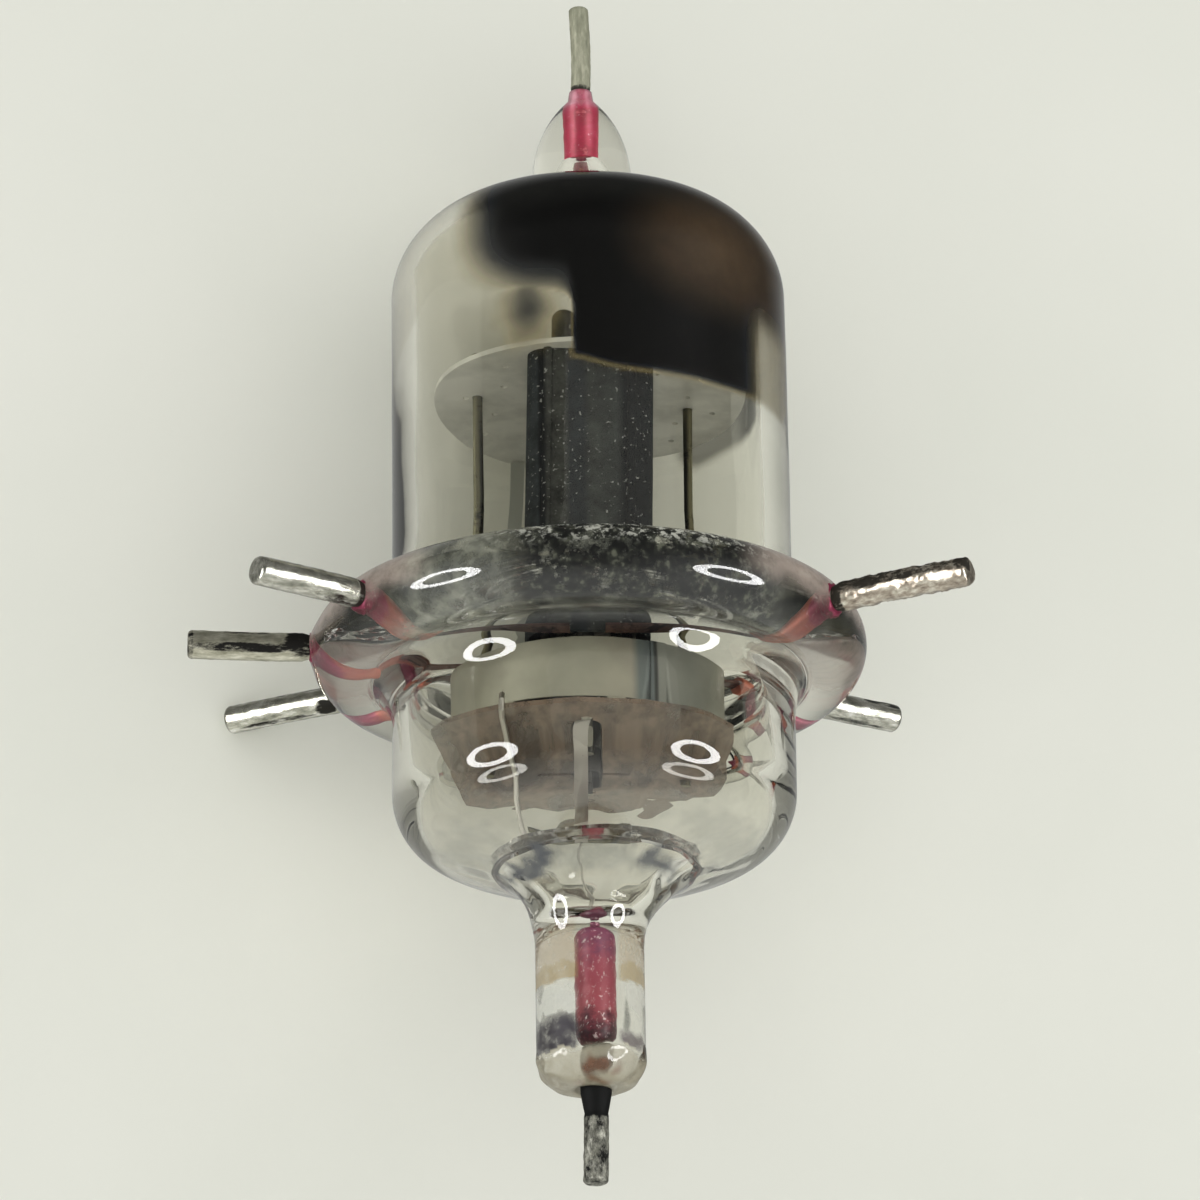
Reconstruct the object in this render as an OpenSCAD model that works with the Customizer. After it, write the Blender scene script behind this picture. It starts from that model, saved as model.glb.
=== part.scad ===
// Acorn tube: a small all-glass pentode with five radial pins in a fused
// glass bead and one pin at each end. It lies on a table: the bead, the
// shoulder of the upper dome and one radial pin touch the surface z = 0.
// Sizes are in millimetres. Each piece is drawn upright on the tube's own
// axis, with z = 0 in the plane of the bead, and lay() puts it down.

/* [Bulb] */
// Outer radius of the cylindrical bulb
bulb_r = 7.1; // [6.9:0.05:7.3]
// Thickness of the glass wall
glass_wall = 0.8; // [0.7:0.05:0.9]
// Height of the upper dome above the bead plane
upper_top = 17.6; // [17.4:0.1:19.5]
// Radius of the upper dome's crown
upper_crown_r = 12; // [11:0.5:15]
// Radius of the upper dome's shoulder
upper_shoulder_r = 3.3; // [2.6:0.1:3.9]
// Depth of the lower dome below the bead plane
lower_depth = 8.75; // [8.6:0.05:9.6]
// Radius of the lower dome's crown
lower_crown_r = 14; // [13:0.5:17]
// Radius of the lower dome's shoulder
lower_shoulder_r = 2.4; // [2:0.1:3]

/* [Bead] */
// Reach of the fused bead from the axis
bead_reach = 9.85; // [9.7:0.05:10.2]
// Radius of the bead's round section
bead_r = 1.43; // [1.35:0.01:1.5]
// Radius of the fillet between bead and bulb
bead_fillet = 0.7; // [0.5:0.1:0.9]
// Radius of the flared lip inside each half
lip_r = 1.6; // [1.4:0.1:1.9]
// Radius at which the groove between the two lips closes
groove_r = 7.5; // [7.3:0.05:7.6]

/* [Nipple] */
// Radius of the nipple at its foot
nipple_r = 1.8; // [1.6:0.05:2]
// Height of the nipple's straight foot above the dome top
nipple_foot = 0.8; // [0.6:0.05:1]
// Height of the rounded nose above the foot
nipple_nose = 3.15; // [2.9:0.05:3.4]
// Height of the glass collar round the grid pin
nipple_collar = 0.4; // [0.3:0.05:0.6]
// Radius of that collar at its top
collar_r = 0.42; // [0.4:0.01:0.5]
// How much wider the collar is at its foot
collar_flare = 0.06; // [0.04:0.01:0.1]
// Radius of the fillet at the foot of the nipple
nipple_fillet = 0.5; // [0.3:0.1:0.7]

/* [Stem] */
// Radius of the exhaust stem
stem_r = 1.9; // [1.8:0.05:2.1]
// Radius of the flare from dome to stem
stem_flare_r = 3; // [2.6:0.1:3.4]
// Depth of the stem's closed end below the bead plane
stem_end = 16.4; // [16.1:0.1:17.2]
// Radius of the round at the closed end
stem_round = 0.9; // [0.7:0.1:1.1]
// Depth at which the hollow part of the stem ends
stem_hollow_end = 10.15; // [10:0.05:10.6]

/* [Radial pins] */
// Radius of the radial pins
pin_r = 0.51; // [0.45:0.01:0.55]
// Reach of the five pins: three on one side, then the pair
pin_reach = [14.2, 14.2, 14.6, 15.1, 13.4]; // [12.5:0.1:16]
// Angle between neighbouring pins of the three
pin_step = 31.5; // [30:0.5:33]
// Bearing of the middle one of the three
trio_bearing = 183.5; // [180:0.5:186]
// Edge round at the free ends
pin_round = 0.18; // [0.1:0.01:0.25]
// Depth in the glass of the taper from pin to seal wire
pin_root = 0.55; // [0.4:0.05:0.8]
// Half height of the flattened copper-clad seal wire in the bead
seal_r = 0.35; // [0.3:0.01:0.4]
// Half width of that wire
seal_half_w = 0.5; // [0.4:0.01:0.55]

/* [End pins] */
// Radius of the grid pin on the nipple
grid_pin_r = 0.36; // [0.32:0.01:0.39]
// Reach of the grid pin above the bead plane
grid_pin_reach = 25.4; // [24:0.1:26.5]
// Radius of the plate pin on the stem
plate_pin_r = 0.44; // [0.4:0.01:0.5]
// Reach of the plate pin below the bead plane
plate_pin_reach = 19.5; // [18.8:0.1:21]
// Radius of the plate pin's blackened foot
plate_foot_r = 0.53; // [0.51:0.01:0.6]
// Length of that foot outside the glass dimple
plate_foot_h = 0.6; // [0.4:0.05:0.9]
// Radius of the grid pin's seal wire
grid_seal_r = 0.4; // [0.36:0.01:0.44]
// Radius of the plate pin's seal wire
plate_seal_r = 0.47; // [0.4:0.01:0.5]

/* [Electrodes] */
// Width of the anode box
anode_w = 4.3; // [4.2:0.05:4.5]
// Depth of the anode box
anode_d = 10; // [9.7:0.1:10.2]
// Height of the anode box
anode_h = 10.3; // [9.8:0.1:10.6]
// Radius of its upright edges
anode_edge_r = 0.7; // [0.5:0.05:0.8]
// Thickness of its sheet
anode_sheet = 0.15; // [0.1:0.01:0.18]
// Half width and half depth of the suppressor grid
suppressor_size = [1.65, 4.3]; // [1.5:0.05:4.4]
// Half width and half depth of the screen grid
screen_size = [1.15, 3.4]; // [1.1:0.05:3.5]
// Half width and half depth of the control grid
control_size = [0.75, 2.5]; // [0.7:0.05:2.6]
// Pitch of the suppressor, screen and control windings
grid_pitch = [0.95, 0.6, 0.42]; // [0.4:0.01:1.2]
// Radius of the grid wire
grid_wire_r = 0.045; // [0.03:0.005:0.05]
// Radius of the grid side rods
side_rod_r = 0.2; // [0.16:0.01:0.22]
// Half width and half depth of the cathode sleeve
cathode_size = [0.45, 1.4]; // [0.4:0.05:1.5]
// Wall of the cathode sleeve
cathode_wall = 0.06; // [0.04:0.01:0.08]
// Radius of the coated heater wire
heater_r = 0.13; // [0.1:0.01:0.15]

/* [Mount] */
// Turn of the whole mount about the axis, against the pins
mount_turn = -2; // [-4:0.5:0]
// Lean of the whole mount towards the pair of pins, at its upper end
mount_lean = 1.2; // [0:0.1:1.5]
// Radius of the upper mica
upper_mica_r = 5.65; // [5.5:0.05:5.8]
// Greatest radius of the chipped lower mica
lower_mica_r = 6; // [5.9:0.05:6.1]
// Thickness of both micas
mica_t = 0.18; // [0.12:0.01:0.22]
// Outer radius of the shield cup
shield_r = 4.75; // [4.7:0.01:4.85]
// Height of the shield cup's skirt
shield_h = 2.5; // [2.2:0.1:2.6]
// Sheet thickness of the shield cup
shield_sheet = 0.12; // [0.08:0.01:0.15]
// Height of the shield's top below the bead plane
shield_drop = 1; // [0.95:0.05:1.2]
// Length of the feet that hold the shield over the lower mica
foot_h = 0.45; // [0.35:0.05:0.6]
// Radius of the support rods
rod_r = 0.18; // [0.15:0.01:0.2]
// Radius of the plate and grid lead wires
lead_r = 0.12; // [0.08:0.01:0.14]
// Thickness of the metal ribbons
ribbon_t = 0.1; // [0.06:0.01:0.12]
// Gap between pieces that are threaded through each other
fit_gap = 0.03; // [0.02:0.01:0.04]

/* [Getter] */
// Thickness of the getter film
film_t = 0.05; // [0.03:0.01:0.08]
// Gap between film and glass
film_gap = 0.02; // [0.01:0.01:0.04]
// Height of the film's lower edge over the upper mica
film_over_mica = 0.1; // [0:0.1:0.6]
// Radius of the film's rounded lobe
lobe_r = 2; // [1.5:0.1:2.4]

/* [Hidden] */
$fn = 48;
wire_gap = 0.02;

// Shelves of the mount, counted up the axis from the bead plane
shield_top = -shield_drop;
shield_foot = shield_top - shield_h;
lower_mica_top = shield_foot - foot_h;
lower_mica_foot = lower_mica_top - mica_t;
anode_foot = shield_top + ribbon_t + 2 * fit_gap;
upper_mica_foot = anode_foot + anode_h;
upper_mica_top = upper_mica_foot + mica_t;
rod_tail = 0.5;

// Glass outlines: the bead and the two domes
bulb_in = bulb_r - glass_wall;
bead_c = bead_reach - bead_r;
bead_fillet_c = [bulb_r + bead_fillet,
    sqrt(pow(bead_r + bead_fillet, 2) - pow(bead_c - bulb_r - bead_fillet, 2))];
bead_end_a = atan2(bead_fillet_c[1], bead_fillet_c[0] - bead_c);
lip_a = acos((bulb_in + lip_r - groove_r) / lip_r);

function arc(c, r, a0, a1, n) =
    [for (i = [0:n]) let (a = a0 + (a1 - a0) * i / n) c + r * [cos(a), sin(a)]];

// Height of a dome's shoulder centre, from its top, crown and shoulder
function shoulder_z(top, crown, shoulder) =
    top - crown + sqrt(pow(crown - shoulder, 2) - pow(bulb_r - shoulder, 2));

// Angle at which a dome's shoulder runs into its crown
function blend_a(top, crown, shoulder) =
    atan2(shoulder_z(top, crown, shoulder) - top + crown, bulb_r - shoulder);

// Centre of the fillet between a dome's crown and the tip that grows from it
function tip_c(top, crown, tip, fillet) =
    [tip + fillet, top - crown + sqrt(pow(crown + fillet, 2) - pow(tip + fillet, 2))];

function tip_a(top, crown, tip, fillet) =
    let (c = tip_c(top, crown, tip, fillet)) atan2(c[1] - top + crown, c[0]);

// Outer outline of one half, from the bead plane to the foot of its tip
function outer_line(top, crown, shoulder, tip, fillet) =
    let (a = blend_a(top, crown, shoulder), t = tip_a(top, crown, tip, fillet))
    concat(
        arc([bead_c, 0], bead_r, 0, bead_end_a, 10),
        arc(bead_fillet_c, bead_fillet, bead_end_a - 180, -180, 4),
        arc([bulb_r - shoulder, shoulder_z(top, crown, shoulder)], shoulder, 0, a, 8),
        arc([0, top - crown], crown, a + (t - a) / 5, t - (t - a) / 5, 3),
        arc(tip_c(top, crown, tip, fillet), fillet, t + 180, 180, 5));

// Inner outline of one half, from angle end_a on its crown to the bead plane
function inner_line(top, crown, shoulder, end_a, inset) =
    let (a = blend_a(top, crown, shoulder), r = shoulder - inset)
    concat(
        arc([0, top - crown], crown - inset, end_a, a + (end_a - a) / 5, 4),
        arc([bulb_r - shoulder, shoulder_z(top, crown, shoulder)], r, a, 0, 6));

function lip_line() = concat(
    arc([bulb_in + lip_r, lip_r], lip_r, 180, 180 + lip_a, 6),
    [[groove_r, 0]]);

// The grid seal and the nose of the nipple
foot_z = tip_c(upper_top, upper_crown_r, nipple_r, nipple_fillet)[1];
nose_z = upper_top + nipple_foot;
nose_top = nose_z + nipple_nose;
collar_top = nose_top + nipple_collar;
nose_drop = nipple_r - collar_r - collar_flare;
nose_r = (pow(nipple_nose, 2) + pow(nose_drop, 2)) / (2 * nose_drop);
nose_a = asin(nipple_nose / nose_r);
grid_seal_foot = nose_z + 1;
grid_seal_cone = nose_top - 0.7;
grid_neck_r = collar_r - 0.1;
cone_in_r = 2.1;
cone_in_a = acos(cone_in_r / (upper_crown_r - glass_wall));

// The plate seal and the closed end of the stem
plate_seal_foot = stem_end - 1.8;
dimple_z = stem_end - 0.4;
plate_neck_r = [plate_seal_r - 0.12, plate_foot_r - 0.15];
plate_foot_taper = 0.04;
plate_cone_h = 0.4;
flare_c = tip_c(lower_depth, lower_crown_r, stem_r, stem_flare_r);
flare_a = tip_a(lower_depth, lower_crown_r, stem_r, stem_flare_r);
hollow_a = 180 + asin((flare_c[1] - stem_hollow_end) / (stem_flare_r + glass_wall));
hollow_round = 0.5;
hollow_r = flare_c[0] + (stem_flare_r + glass_wall) * cos(hollow_a);

// Bearings of the radial pins: heater, cathode, heater, screen, suppressor
bearing = [trio_bearing + pin_step, trio_bearing, trio_bearing - pin_step,
    -pin_step, pin_step];
neck_from = bead_reach - pin_root;
neck_to = bead_reach + 0.05;
seal_end_r = bulb_in + 0.4;

// How the tube comes to rest: on bead, dome shoulder and one pin of the three
shoulder_c = [bulb_r - upper_shoulder_r,
    shoulder_z(upper_top, upper_crown_r, upper_shoulder_r)];
tilt = atan((bead_c - shoulder_c[0]) / shoulder_c[1])
    + asin((bead_r - upper_shoulder_r) / norm([bead_c - shoulder_c[0], shoulder_c[1]]));
axis_h = bead_c * cos(tilt) + bead_r;
prop_len = pin_reach[2] - pin_round;
prop_r = pin_r - pin_round;
prop_a = atan(prop_r / prop_len) + acos((axis_h - pin_round) / norm([prop_len, prop_r]));
roll = 90 + acos(cos(prop_a) / cos(tilt)) - bearing[2];

// Half of the outer box, so that the origin is under its middle
function side_reach(k, side) =
    let (c = side * cos(bearing[k] + roll))
    (pin_reach[k] - pin_round) * c + prop_r * sqrt(1 - c * c) + pin_round;
function end_reach(reach, r) =
    (reach - pin_round) * cos(tilt) + (r - pin_round) * sin(tilt) + pin_round;
right_reach = max([for (k = [0:4]) side_reach(k, 1)]);
left_reach = max([for (k = [0:4]) side_reach(k, -1)]);
far_reach = end_reach(grid_pin_reach, grid_pin_r);
near_reach = end_reach(plate_pin_reach, plate_pin_r);

module lay() {
    translate([(left_reach - right_reach) / 2, (near_reach - far_reach) / 2, axis_h])
        rotate([-90 - tilt, 0, 0])
            rotate([0, 0, roll])
                children();
}

// Points and shapes of the mount, which is turned on the axis and leans a little
function turned(p) =
    let (x = p[0] * cos(mount_turn) - p[1] * sin(mount_turn),
         y = p[0] * sin(mount_turn) + p[1] * cos(mount_turn))
    [x * cos(mount_lean) + p[2] * sin(mount_lean), y,
     p[2] * cos(mount_lean) - x * sin(mount_lean)];
module on_mount() { lay() rotate([0, mount_lean, 0]) rotate([0, 0, mount_turn]) children(); }

left_rod = [-3.7, -0.8];
left_rod_lean = 1.8;
left_rod_tail = 1.5;
right_rod = [3.5, 0.55];
rear_stay = [-2.75, 3.55];
stay_w = 0.5;
window = suppressor_size + [0.35, 0.1];

// A solid swept along points: section is a list of [sideways, upward] offsets
function unit(v) = v / norm(v);
function heading(path, i) =
    unit(path[min(i + 1, len(path) - 1)] - path[max(i - 1, 0)]);
module sweep(path, section, up) {
    m = len(section);
    n = len(path);
    points = [for (i = [0:n - 1])
        let (s = unit(cross(heading(path, i), up)), u = cross(s, heading(path, i)))
        for (q = section) path[i] + q[0] * s + q[1] * u];
    sides = [for (i = [0:n - 2]) for (j = [0:m - 1])
        let (a = i * m + j, b = i * m + (j + 1) % m) [a, a + m, b + m, b]];
    caps = [[for (j = [0:m - 1]) j], [for (j = [m - 1:-1:0]) (n - 1) * m + j]];
    polyhedron(points, concat(sides, caps), convexity = 6);
}
function round_section(r, sides) =
    [for (j = [0:sides - 1]) r * [cos(-360 * j / sides), sin(-360 * j / sides)]];
function flat_section(w, t) = [[-w, -t] / 2, [-w, t] / 2, [w, t] / 2, [w, -t] / 2];

// A stadium: straight flanks with two round ends
module stadium(half) {
    translate([0, half[1] - half[0]]) circle(half[0]);
    translate([0, half[0] - half[1]]) circle(half[0]);
    square([2 * half[0], 2 * (half[1] - half[0])], center = true);
}
module round_box(w, d, r) {
    square([w - 2 * r, d], center = true);
    square([w, d - 2 * r], center = true);
    for (x = [-1, 1], y = [-1, 1])
        translate([x * (w / 2 - r), y * (d / 2 - r)]) circle(r);
}

// A radial seal wire, flattened in the plane of the bead
module seal_wire() {
    translate([0, 0, seal_end_r]) linear_extrude(neck_from - seal_end_r)
        polygon([for (a = [0:20:340]) [seal_r * cos(a), seal_half_w * sin(a)]]);
}

// The two halves of the envelope
module seal_bores() {
    for (k = [0:4]) rotate([0, 0, bearing[k]]) rotate([0, 90, 0]) {
        seal_wire();
        translate([0, 0, neck_from]) cylinder(r1 = seal_r, r2 = pin_r, h = neck_to - neck_from);
    }
}
module upper_bulb() {
    outer = outer_line(upper_top, upper_crown_r, upper_shoulder_r, nipple_r, nipple_fillet);
    nose = arc([nipple_r - nose_r, nose_z], nose_r, 0, nose_a, 8);
    bore = [[collar_r, collar_top], [grid_neck_r, collar_top], [grid_seal_r, grid_seal_cone],
        [grid_seal_r, grid_seal_foot]];
    inner = inner_line(upper_top, upper_crown_r, upper_shoulder_r, cone_in_a, glass_wall);
    color("LightCyan", 0.4) lay() difference() {
        rotate_extrude(convexity = 6) polygon(concat(outer, nose, bore, inner, lip_line()));
        seal_bores();
    }
}
module lower_bulb() {
    outer = outer_line(lower_depth, lower_crown_r, lower_shoulder_r, stem_r, stem_flare_r);
    end = concat(arc([stem_r - stem_round, stem_end - stem_round], stem_round, 0, 90, 5),
        [[plate_foot_r, dimple_z], [plate_neck_r[1], dimple_z],
         [plate_neck_r[0], plate_seal_foot], [plate_seal_r, plate_seal_foot],
         [plate_seal_r, stem_hollow_end], [hollow_r - hollow_round, stem_hollow_end]]);
    hollow = arc(flare_c, stem_flare_r + glass_wall, hollow_a - 8, flare_a + 180, 6);
    inner = inner_line(lower_depth, lower_crown_r, lower_shoulder_r, flare_a - 2, glass_wall);
    color("LightCyan", 0.4) lay() difference() {
        mirror([0, 0, 1]) rotate_extrude(convexity = 6)
            polygon(concat(outer, end, hollow, inner, lip_line()));
        seal_bores();
    }
}

// Getter film on the inside of the upper dome, shadowed by the upper mica
module getter_film() {
    from_z = upper_mica_foot + film_over_mica;
    skin = function (inset) inner_line(upper_top, upper_crown_r, upper_shoulder_r,
        cone_in_a, glass_wall + inset);
    face = skin(film_gap);
    back = skin(film_gap + film_t);
    edge_r = bulb_in - film_gap;
    lobe_c = [-0.6 - lobe_r, upper_top - 3];
    span = 3 * bulb_r;
    color([0.08, 0.07, 0.06]) lay() intersection() {
        rotate_extrude(convexity = 6) polygon(concat(face,
            [[edge_r, from_z], [edge_r - film_t, from_z]],
            [for (i = [len(back) - 1:-1:0]) back[i]]));
        rotate([90, 0, mount_turn]) translate([0, 0, -span / 2]) linear_extrude(span) {
            translate(lobe_c) circle(lobe_r);
            translate([lobe_c[0] - lobe_r, lobe_c[1]]) square([span, lobe_r * 3]);
            translate([lobe_c[0], lobe_c[1] - lobe_r]) square([span, lobe_r * 3]);
            translate([lobe_c[0] + lobe_r, from_z - 1]) square([span, lobe_r * 5]);
        }
    }
}

// Radial pins and the copper-clad seals that carry them through the bead
module radial_pin(k) {
    tip = pin_reach[k];
    color("Silver") lay() rotate([0, 0, bearing[k]]) rotate([0, 90, 0]) rotate_extrude()
        polygon(concat([[0, neck_from], [seal_r, neck_from], [pin_r, neck_to]],
            arc([pin_r - pin_round, tip - pin_round], pin_round, 0, 90, 4), [[0, tip]]));
}
module radial_seal(k) {
    color("IndianRed") lay() rotate([0, 0, bearing[k]]) rotate([0, 90, 0]) seal_wire();
}
module heater_pin_a() { radial_pin(0); }
module cathode_pin() { radial_pin(1); }
module heater_pin_b() { radial_pin(2); }
module screen_pin() { radial_pin(3); }
module suppressor_pin() { radial_pin(4); }
module heater_seal_a() { radial_seal(0); }
module cathode_seal() { radial_seal(1); }
module heater_seal_b() { radial_seal(2); }
module screen_seal() { radial_seal(3); }
module suppressor_seal() { radial_seal(4); }

// Ribbons from the seals to the mount: three lie on the shield cup, two run
// on to a bar across the foot of the anode
strap_w = 0.8;
bar_w = 0.55;
bar_span = [0.6, 1.75];
strap_z = shield_top + fit_gap + ribbon_t / 2;
bar_y = -anode_d / 2 - bar_w / 2;
module strap(k, w, ends) {
    way = [cos(bearing[k]), sin(bearing[k]), 0];
    color("DimGray") lay() sweep(concat([(seal_end_r - 0.02) * way, (seal_end_r - 0.3) * way],
        ends), flat_section(w, ribbon_t), [0, 0, 1]);
}
module front_strap(k, side) {
    strap(k, bar_w, [turned([side * bar_span[1], bar_y, strap_z]),
        turned([side * bar_span[0], bar_y, strap_z])]);
}
module side_strap(k, end) {
    strap(k, strap_w, [turned([end[0], end[1], strap_z])]);
}
module heater_strap_a() { front_strap(0, -1); }
module screen_strap() { front_strap(3, 1); }
module cathode_strap() { side_strap(1, left_rod - [rod_r + fit_gap, 0]); }
module heater_strap_b() { side_strap(2, rear_stay - [stay_w / 2 + fit_gap, 0]); }
module suppressor_strap() { side_strap(4, right_rod + (rod_r + fit_gap) * [0.55, 0.84]); }

// Grid pin, its seal and the lead to the control grid
module grid_pin() {
    color("DarkKhaki") lay() rotate_extrude() polygon(concat(
        [[0, collar_top], [grid_pin_r, collar_top]],
        arc([grid_pin_r - pin_round, grid_pin_reach - pin_round], pin_round, 0, 90, 4),
        [[0, grid_pin_reach]]));
}
module grid_seal() {
    color("Crimson") lay() rotate_extrude() polygon([[0, grid_seal_foot],
        [grid_seal_r, grid_seal_foot], [grid_seal_r, grid_seal_cone],
        [grid_neck_r, collar_top], [0, collar_top]]);
}
module grid_lead() {
    y = side_rod_y(control_size);
    color("DarkSalmon") lay() sweep([[0, 0, grid_seal_foot], [0, 0, grid_seal_foot - 1],
        [0.1, 0, upper_top - 2.2], turned([0, -y / 2, upper_mica_top + 3]),
        turned([0, -y, upper_mica_top + 1.4]), turned([0, -y, upper_mica_top + rod_tail])],
        round_section(lead_r, 8), [1, 0, 0]);
}

// Plate pin, its seal, and the wires that carry the anode to it
plate_bar_z = lower_mica_foot - 2.4;
module plate_pin() {
    foot = dimple_z + plate_foot_h;
    color("Gray") lay() mirror([0, 0, 1]) rotate_extrude() polygon(concat(
        [[0, plate_seal_foot], [plate_neck_r[0], plate_seal_foot], [plate_neck_r[1], dimple_z],
         [plate_foot_r, dimple_z], [plate_foot_r - plate_foot_taper, foot],
         [plate_pin_r, foot + plate_cone_h]],
        arc([plate_pin_r - pin_round, plate_pin_reach - pin_round], pin_round, 0, 90, 4),
        [[0, plate_pin_reach]]));
}
module plate_seal() {
    color("Crimson") lay() translate([0, 0, -plate_seal_foot])
        cylinder(r = plate_seal_r, h = plate_seal_foot - stem_hollow_end);
}
module plate_bar() {
    color("DimGray") on_mount() translate([-2.05, 0, plate_bar_z]) rotate([0, 90, 0])
        cylinder(r = lead_r, h = 3.5);
}
module plate_lead() {
    top = plate_bar_z - lead_r - fit_gap;
    color("DimGray") on_mount() sweep([[-0.2, 0, top], [-0.3, 0, top - 0.8], [-0.1, 0, top - 1.7],
        [0.1, 0, top - 2.3], [0.05, 0, top - 2.9],
        [0, 0, fit_gap - stem_hollow_end]],
        round_section(lead_r / 2, 6), [0, 1, 0]);
}
strap_x = -0.25;
module anode_strap() {
    weld_y = -anode_d / 2 + anode_sheet + fit_gap + ribbon_t / 2;
    pass_y = -control_size[1] - 1;
    color("Silver") on_mount() sweep([[0.5, weld_y, anode_foot + 0.5],
        [0.5, weld_y + 0.05, anode_foot + 0.25], [0.45, pass_y - 0.48, anode_foot],
        [0.4, pass_y - 0.4, shield_top - 0.3], [0.05, pass_y - 0.2, shield_foot],
        [strap_x, pass_y, lower_mica_foot - 0.15], [strap_x, -0.25, plate_bar_z + 0.3],
        [strap_x, -lead_r - 0.1, plate_bar_z - 0.15]], flat_section(0.5, ribbon_t), [0, 1, 0]);
}
module mount_wire() {
    edge = lower_mica_r * mica_edge[wire_notch][1] + lead_r + fit_gap;
    way = [cos(mica_edge[wire_notch][0]), sin(mica_edge[wire_notch][0])];
    under = lower_mica_foot - lead_r - 0.05;
    color("Silver") on_mount() sweep([[edge * way[0], edge * way[1] + 0.3, lower_mica_top + 0.4],
        [edge * way[0], edge * way[1], lower_mica_top + 0.1],
        [edge * way[0], edge * way[1], lower_mica_foot - 0.1],
        [edge * way[0], edge * way[1] + 0.45, under - 0.05], [-2.75, -2.6, under - 0.05], [-2.6, -0.7, under - 0.1], [-2.5, -0.25, under - 1.2],
        [-2.35, -0.1, plate_bar_z + 0.3],
        [-2.2, -0.05, plate_bar_z - 0.35]],
        round_section(lead_r * 0.8, 8), [1, 0, 0]);
}

// Electrodes: three wound grids round the cathode, inside the anode box
function side_rod_y(size) = size[1] - side_rod_r;
module side_rods(size, grow) {
    for (y = [-1, 1]) translate([0, y * side_rod_y(size), lower_mica_foot + 0.05])
        cylinder(r = side_rod_r + grow, h = upper_mica_top + rod_tail - lower_mica_foot - 0.05);
}
// One turn is fourteen points: seven round each end of a stadium
function winding(size, pitch, from, to) =
    let (c = size[1] - size[0] + grid_wire_r + wire_gap, turns = floor((to - from) / pitch))
    [for (i = [0:14 * turns]) let (k = i % 14, a = 30 * (k < 7 ? k : k - 1))
        [size[0] * cos(a), (k < 7 ? c : -c) + size[0] * sin(a), from + pitch * i / 14]];
module wound_grid(size, pitch, tone) {
    color(tone) on_mount() {
        side_rods(size, 0);
        sweep(winding(size, pitch, anode_foot + 0.6, upper_mica_foot - 0.5),
            round_section(grid_wire_r, 4), [0, 0, 1]);
    }
}
module suppressor_grid() { wound_grid(suppressor_size, grid_pitch[0], "Silver"); }
module screen_grid() { wound_grid(screen_size, grid_pitch[1], "DarkGray"); }
module control_grid() { wound_grid(control_size, grid_pitch[2], "Goldenrod"); }
module anode() {
    rib_r = 0.16;
    color([0.16, 0.16, 0.17]) on_mount() translate([0, 0, anode_foot]) {
        linear_extrude(anode_h) difference() {
            union() {
                round_box(anode_w, anode_d, anode_edge_r);
                for (x = [-1, 1], y = [-1, 1])
                    translate([x * anode_w / 3, y * anode_d / 2]) circle(rib_r);
            }
            round_box(anode_w - 2 * anode_sheet, anode_d - 2 * anode_sheet,
                anode_edge_r - anode_sheet);
        }
        anode_ears(0);
    }
}

// Round-topped ears that hold the anode in the upper mica
ear_x = -0.9;
ear_w = 0.85;
ear_h = 1.5;
module anode_ears(grow) {
    for (y = [-1, 1])
        translate([ear_x, y * (anode_d - anode_sheet) / 2, anode_h]) rotate([90, 0, 0])
            linear_extrude(anode_sheet + 2 * grow, center = true) {
                translate([-ear_w / 2 - grow, 0]) square([ear_w + 2 * grow, ear_h - ear_w / 2]);
                translate([0, ear_h - ear_w / 2]) circle(ear_w / 2);
            }
}
module cathode_sleeve() {
    inner = cathode_size - [cathode_wall, cathode_wall];
    color("WhiteSmoke") on_mount() translate([0, 0, lower_mica_foot - 0.4])
        linear_extrude(upper_mica_top - lower_mica_foot + 0.9) difference() {
            stadium(cathode_size);
            stadium(inner);
        }
}
module heater() {
    leg = cathode_size[1] - cathode_size[0];
    foot = lower_mica_foot - 0.9;
    turn_z = upper_mica_foot - 0.8;
    color("White") on_mount() sweep(concat([[0, -leg, foot]],
        [for (a = [180:-15:0]) [0, leg * cos(a), turn_z + leg * sin(a)]], [[0, leg, foot]]),
        round_section(heater_r, 12), [1, 0, 0]);
}

// Micas, shield and the rods that tie them together
function left_rod_at(z) = left_rod - [tan(left_rod_lean) * (z - strap_z), 0];
module rod_holes(z) {
    for (p = [left_rod_at(z), right_rod]) translate(p) circle(rod_r + fit_gap);
}
module grid_holes() {
    for (s = [suppressor_size, screen_size, control_size]) for (y = [-1, 1])
        translate([0, y * side_rod_y(s)]) circle(side_rod_r + fit_gap);
    stadium(cathode_size + [fit_gap, fit_gap]);
}
module upper_mica() {
    vent_r = 0.12;
    color("Gainsboro", 0.6) on_mount() difference() {
        translate([0, 0, upper_mica_foot]) linear_extrude(mica_t) difference() {
            circle(upper_mica_r);
            rod_holes(upper_mica_foot + mica_t / 2);
            grid_holes();
            for (a = [20:20:160], side = [0, 180]) rotate(a + side - 90)
                translate([upper_mica_r * (a % 40 == 0 ? 0.62 : 0.8), 0]) circle(vent_r);
        }
        translate([0, 0, anode_foot]) anode_ears(fit_gap);
    }
}

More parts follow.
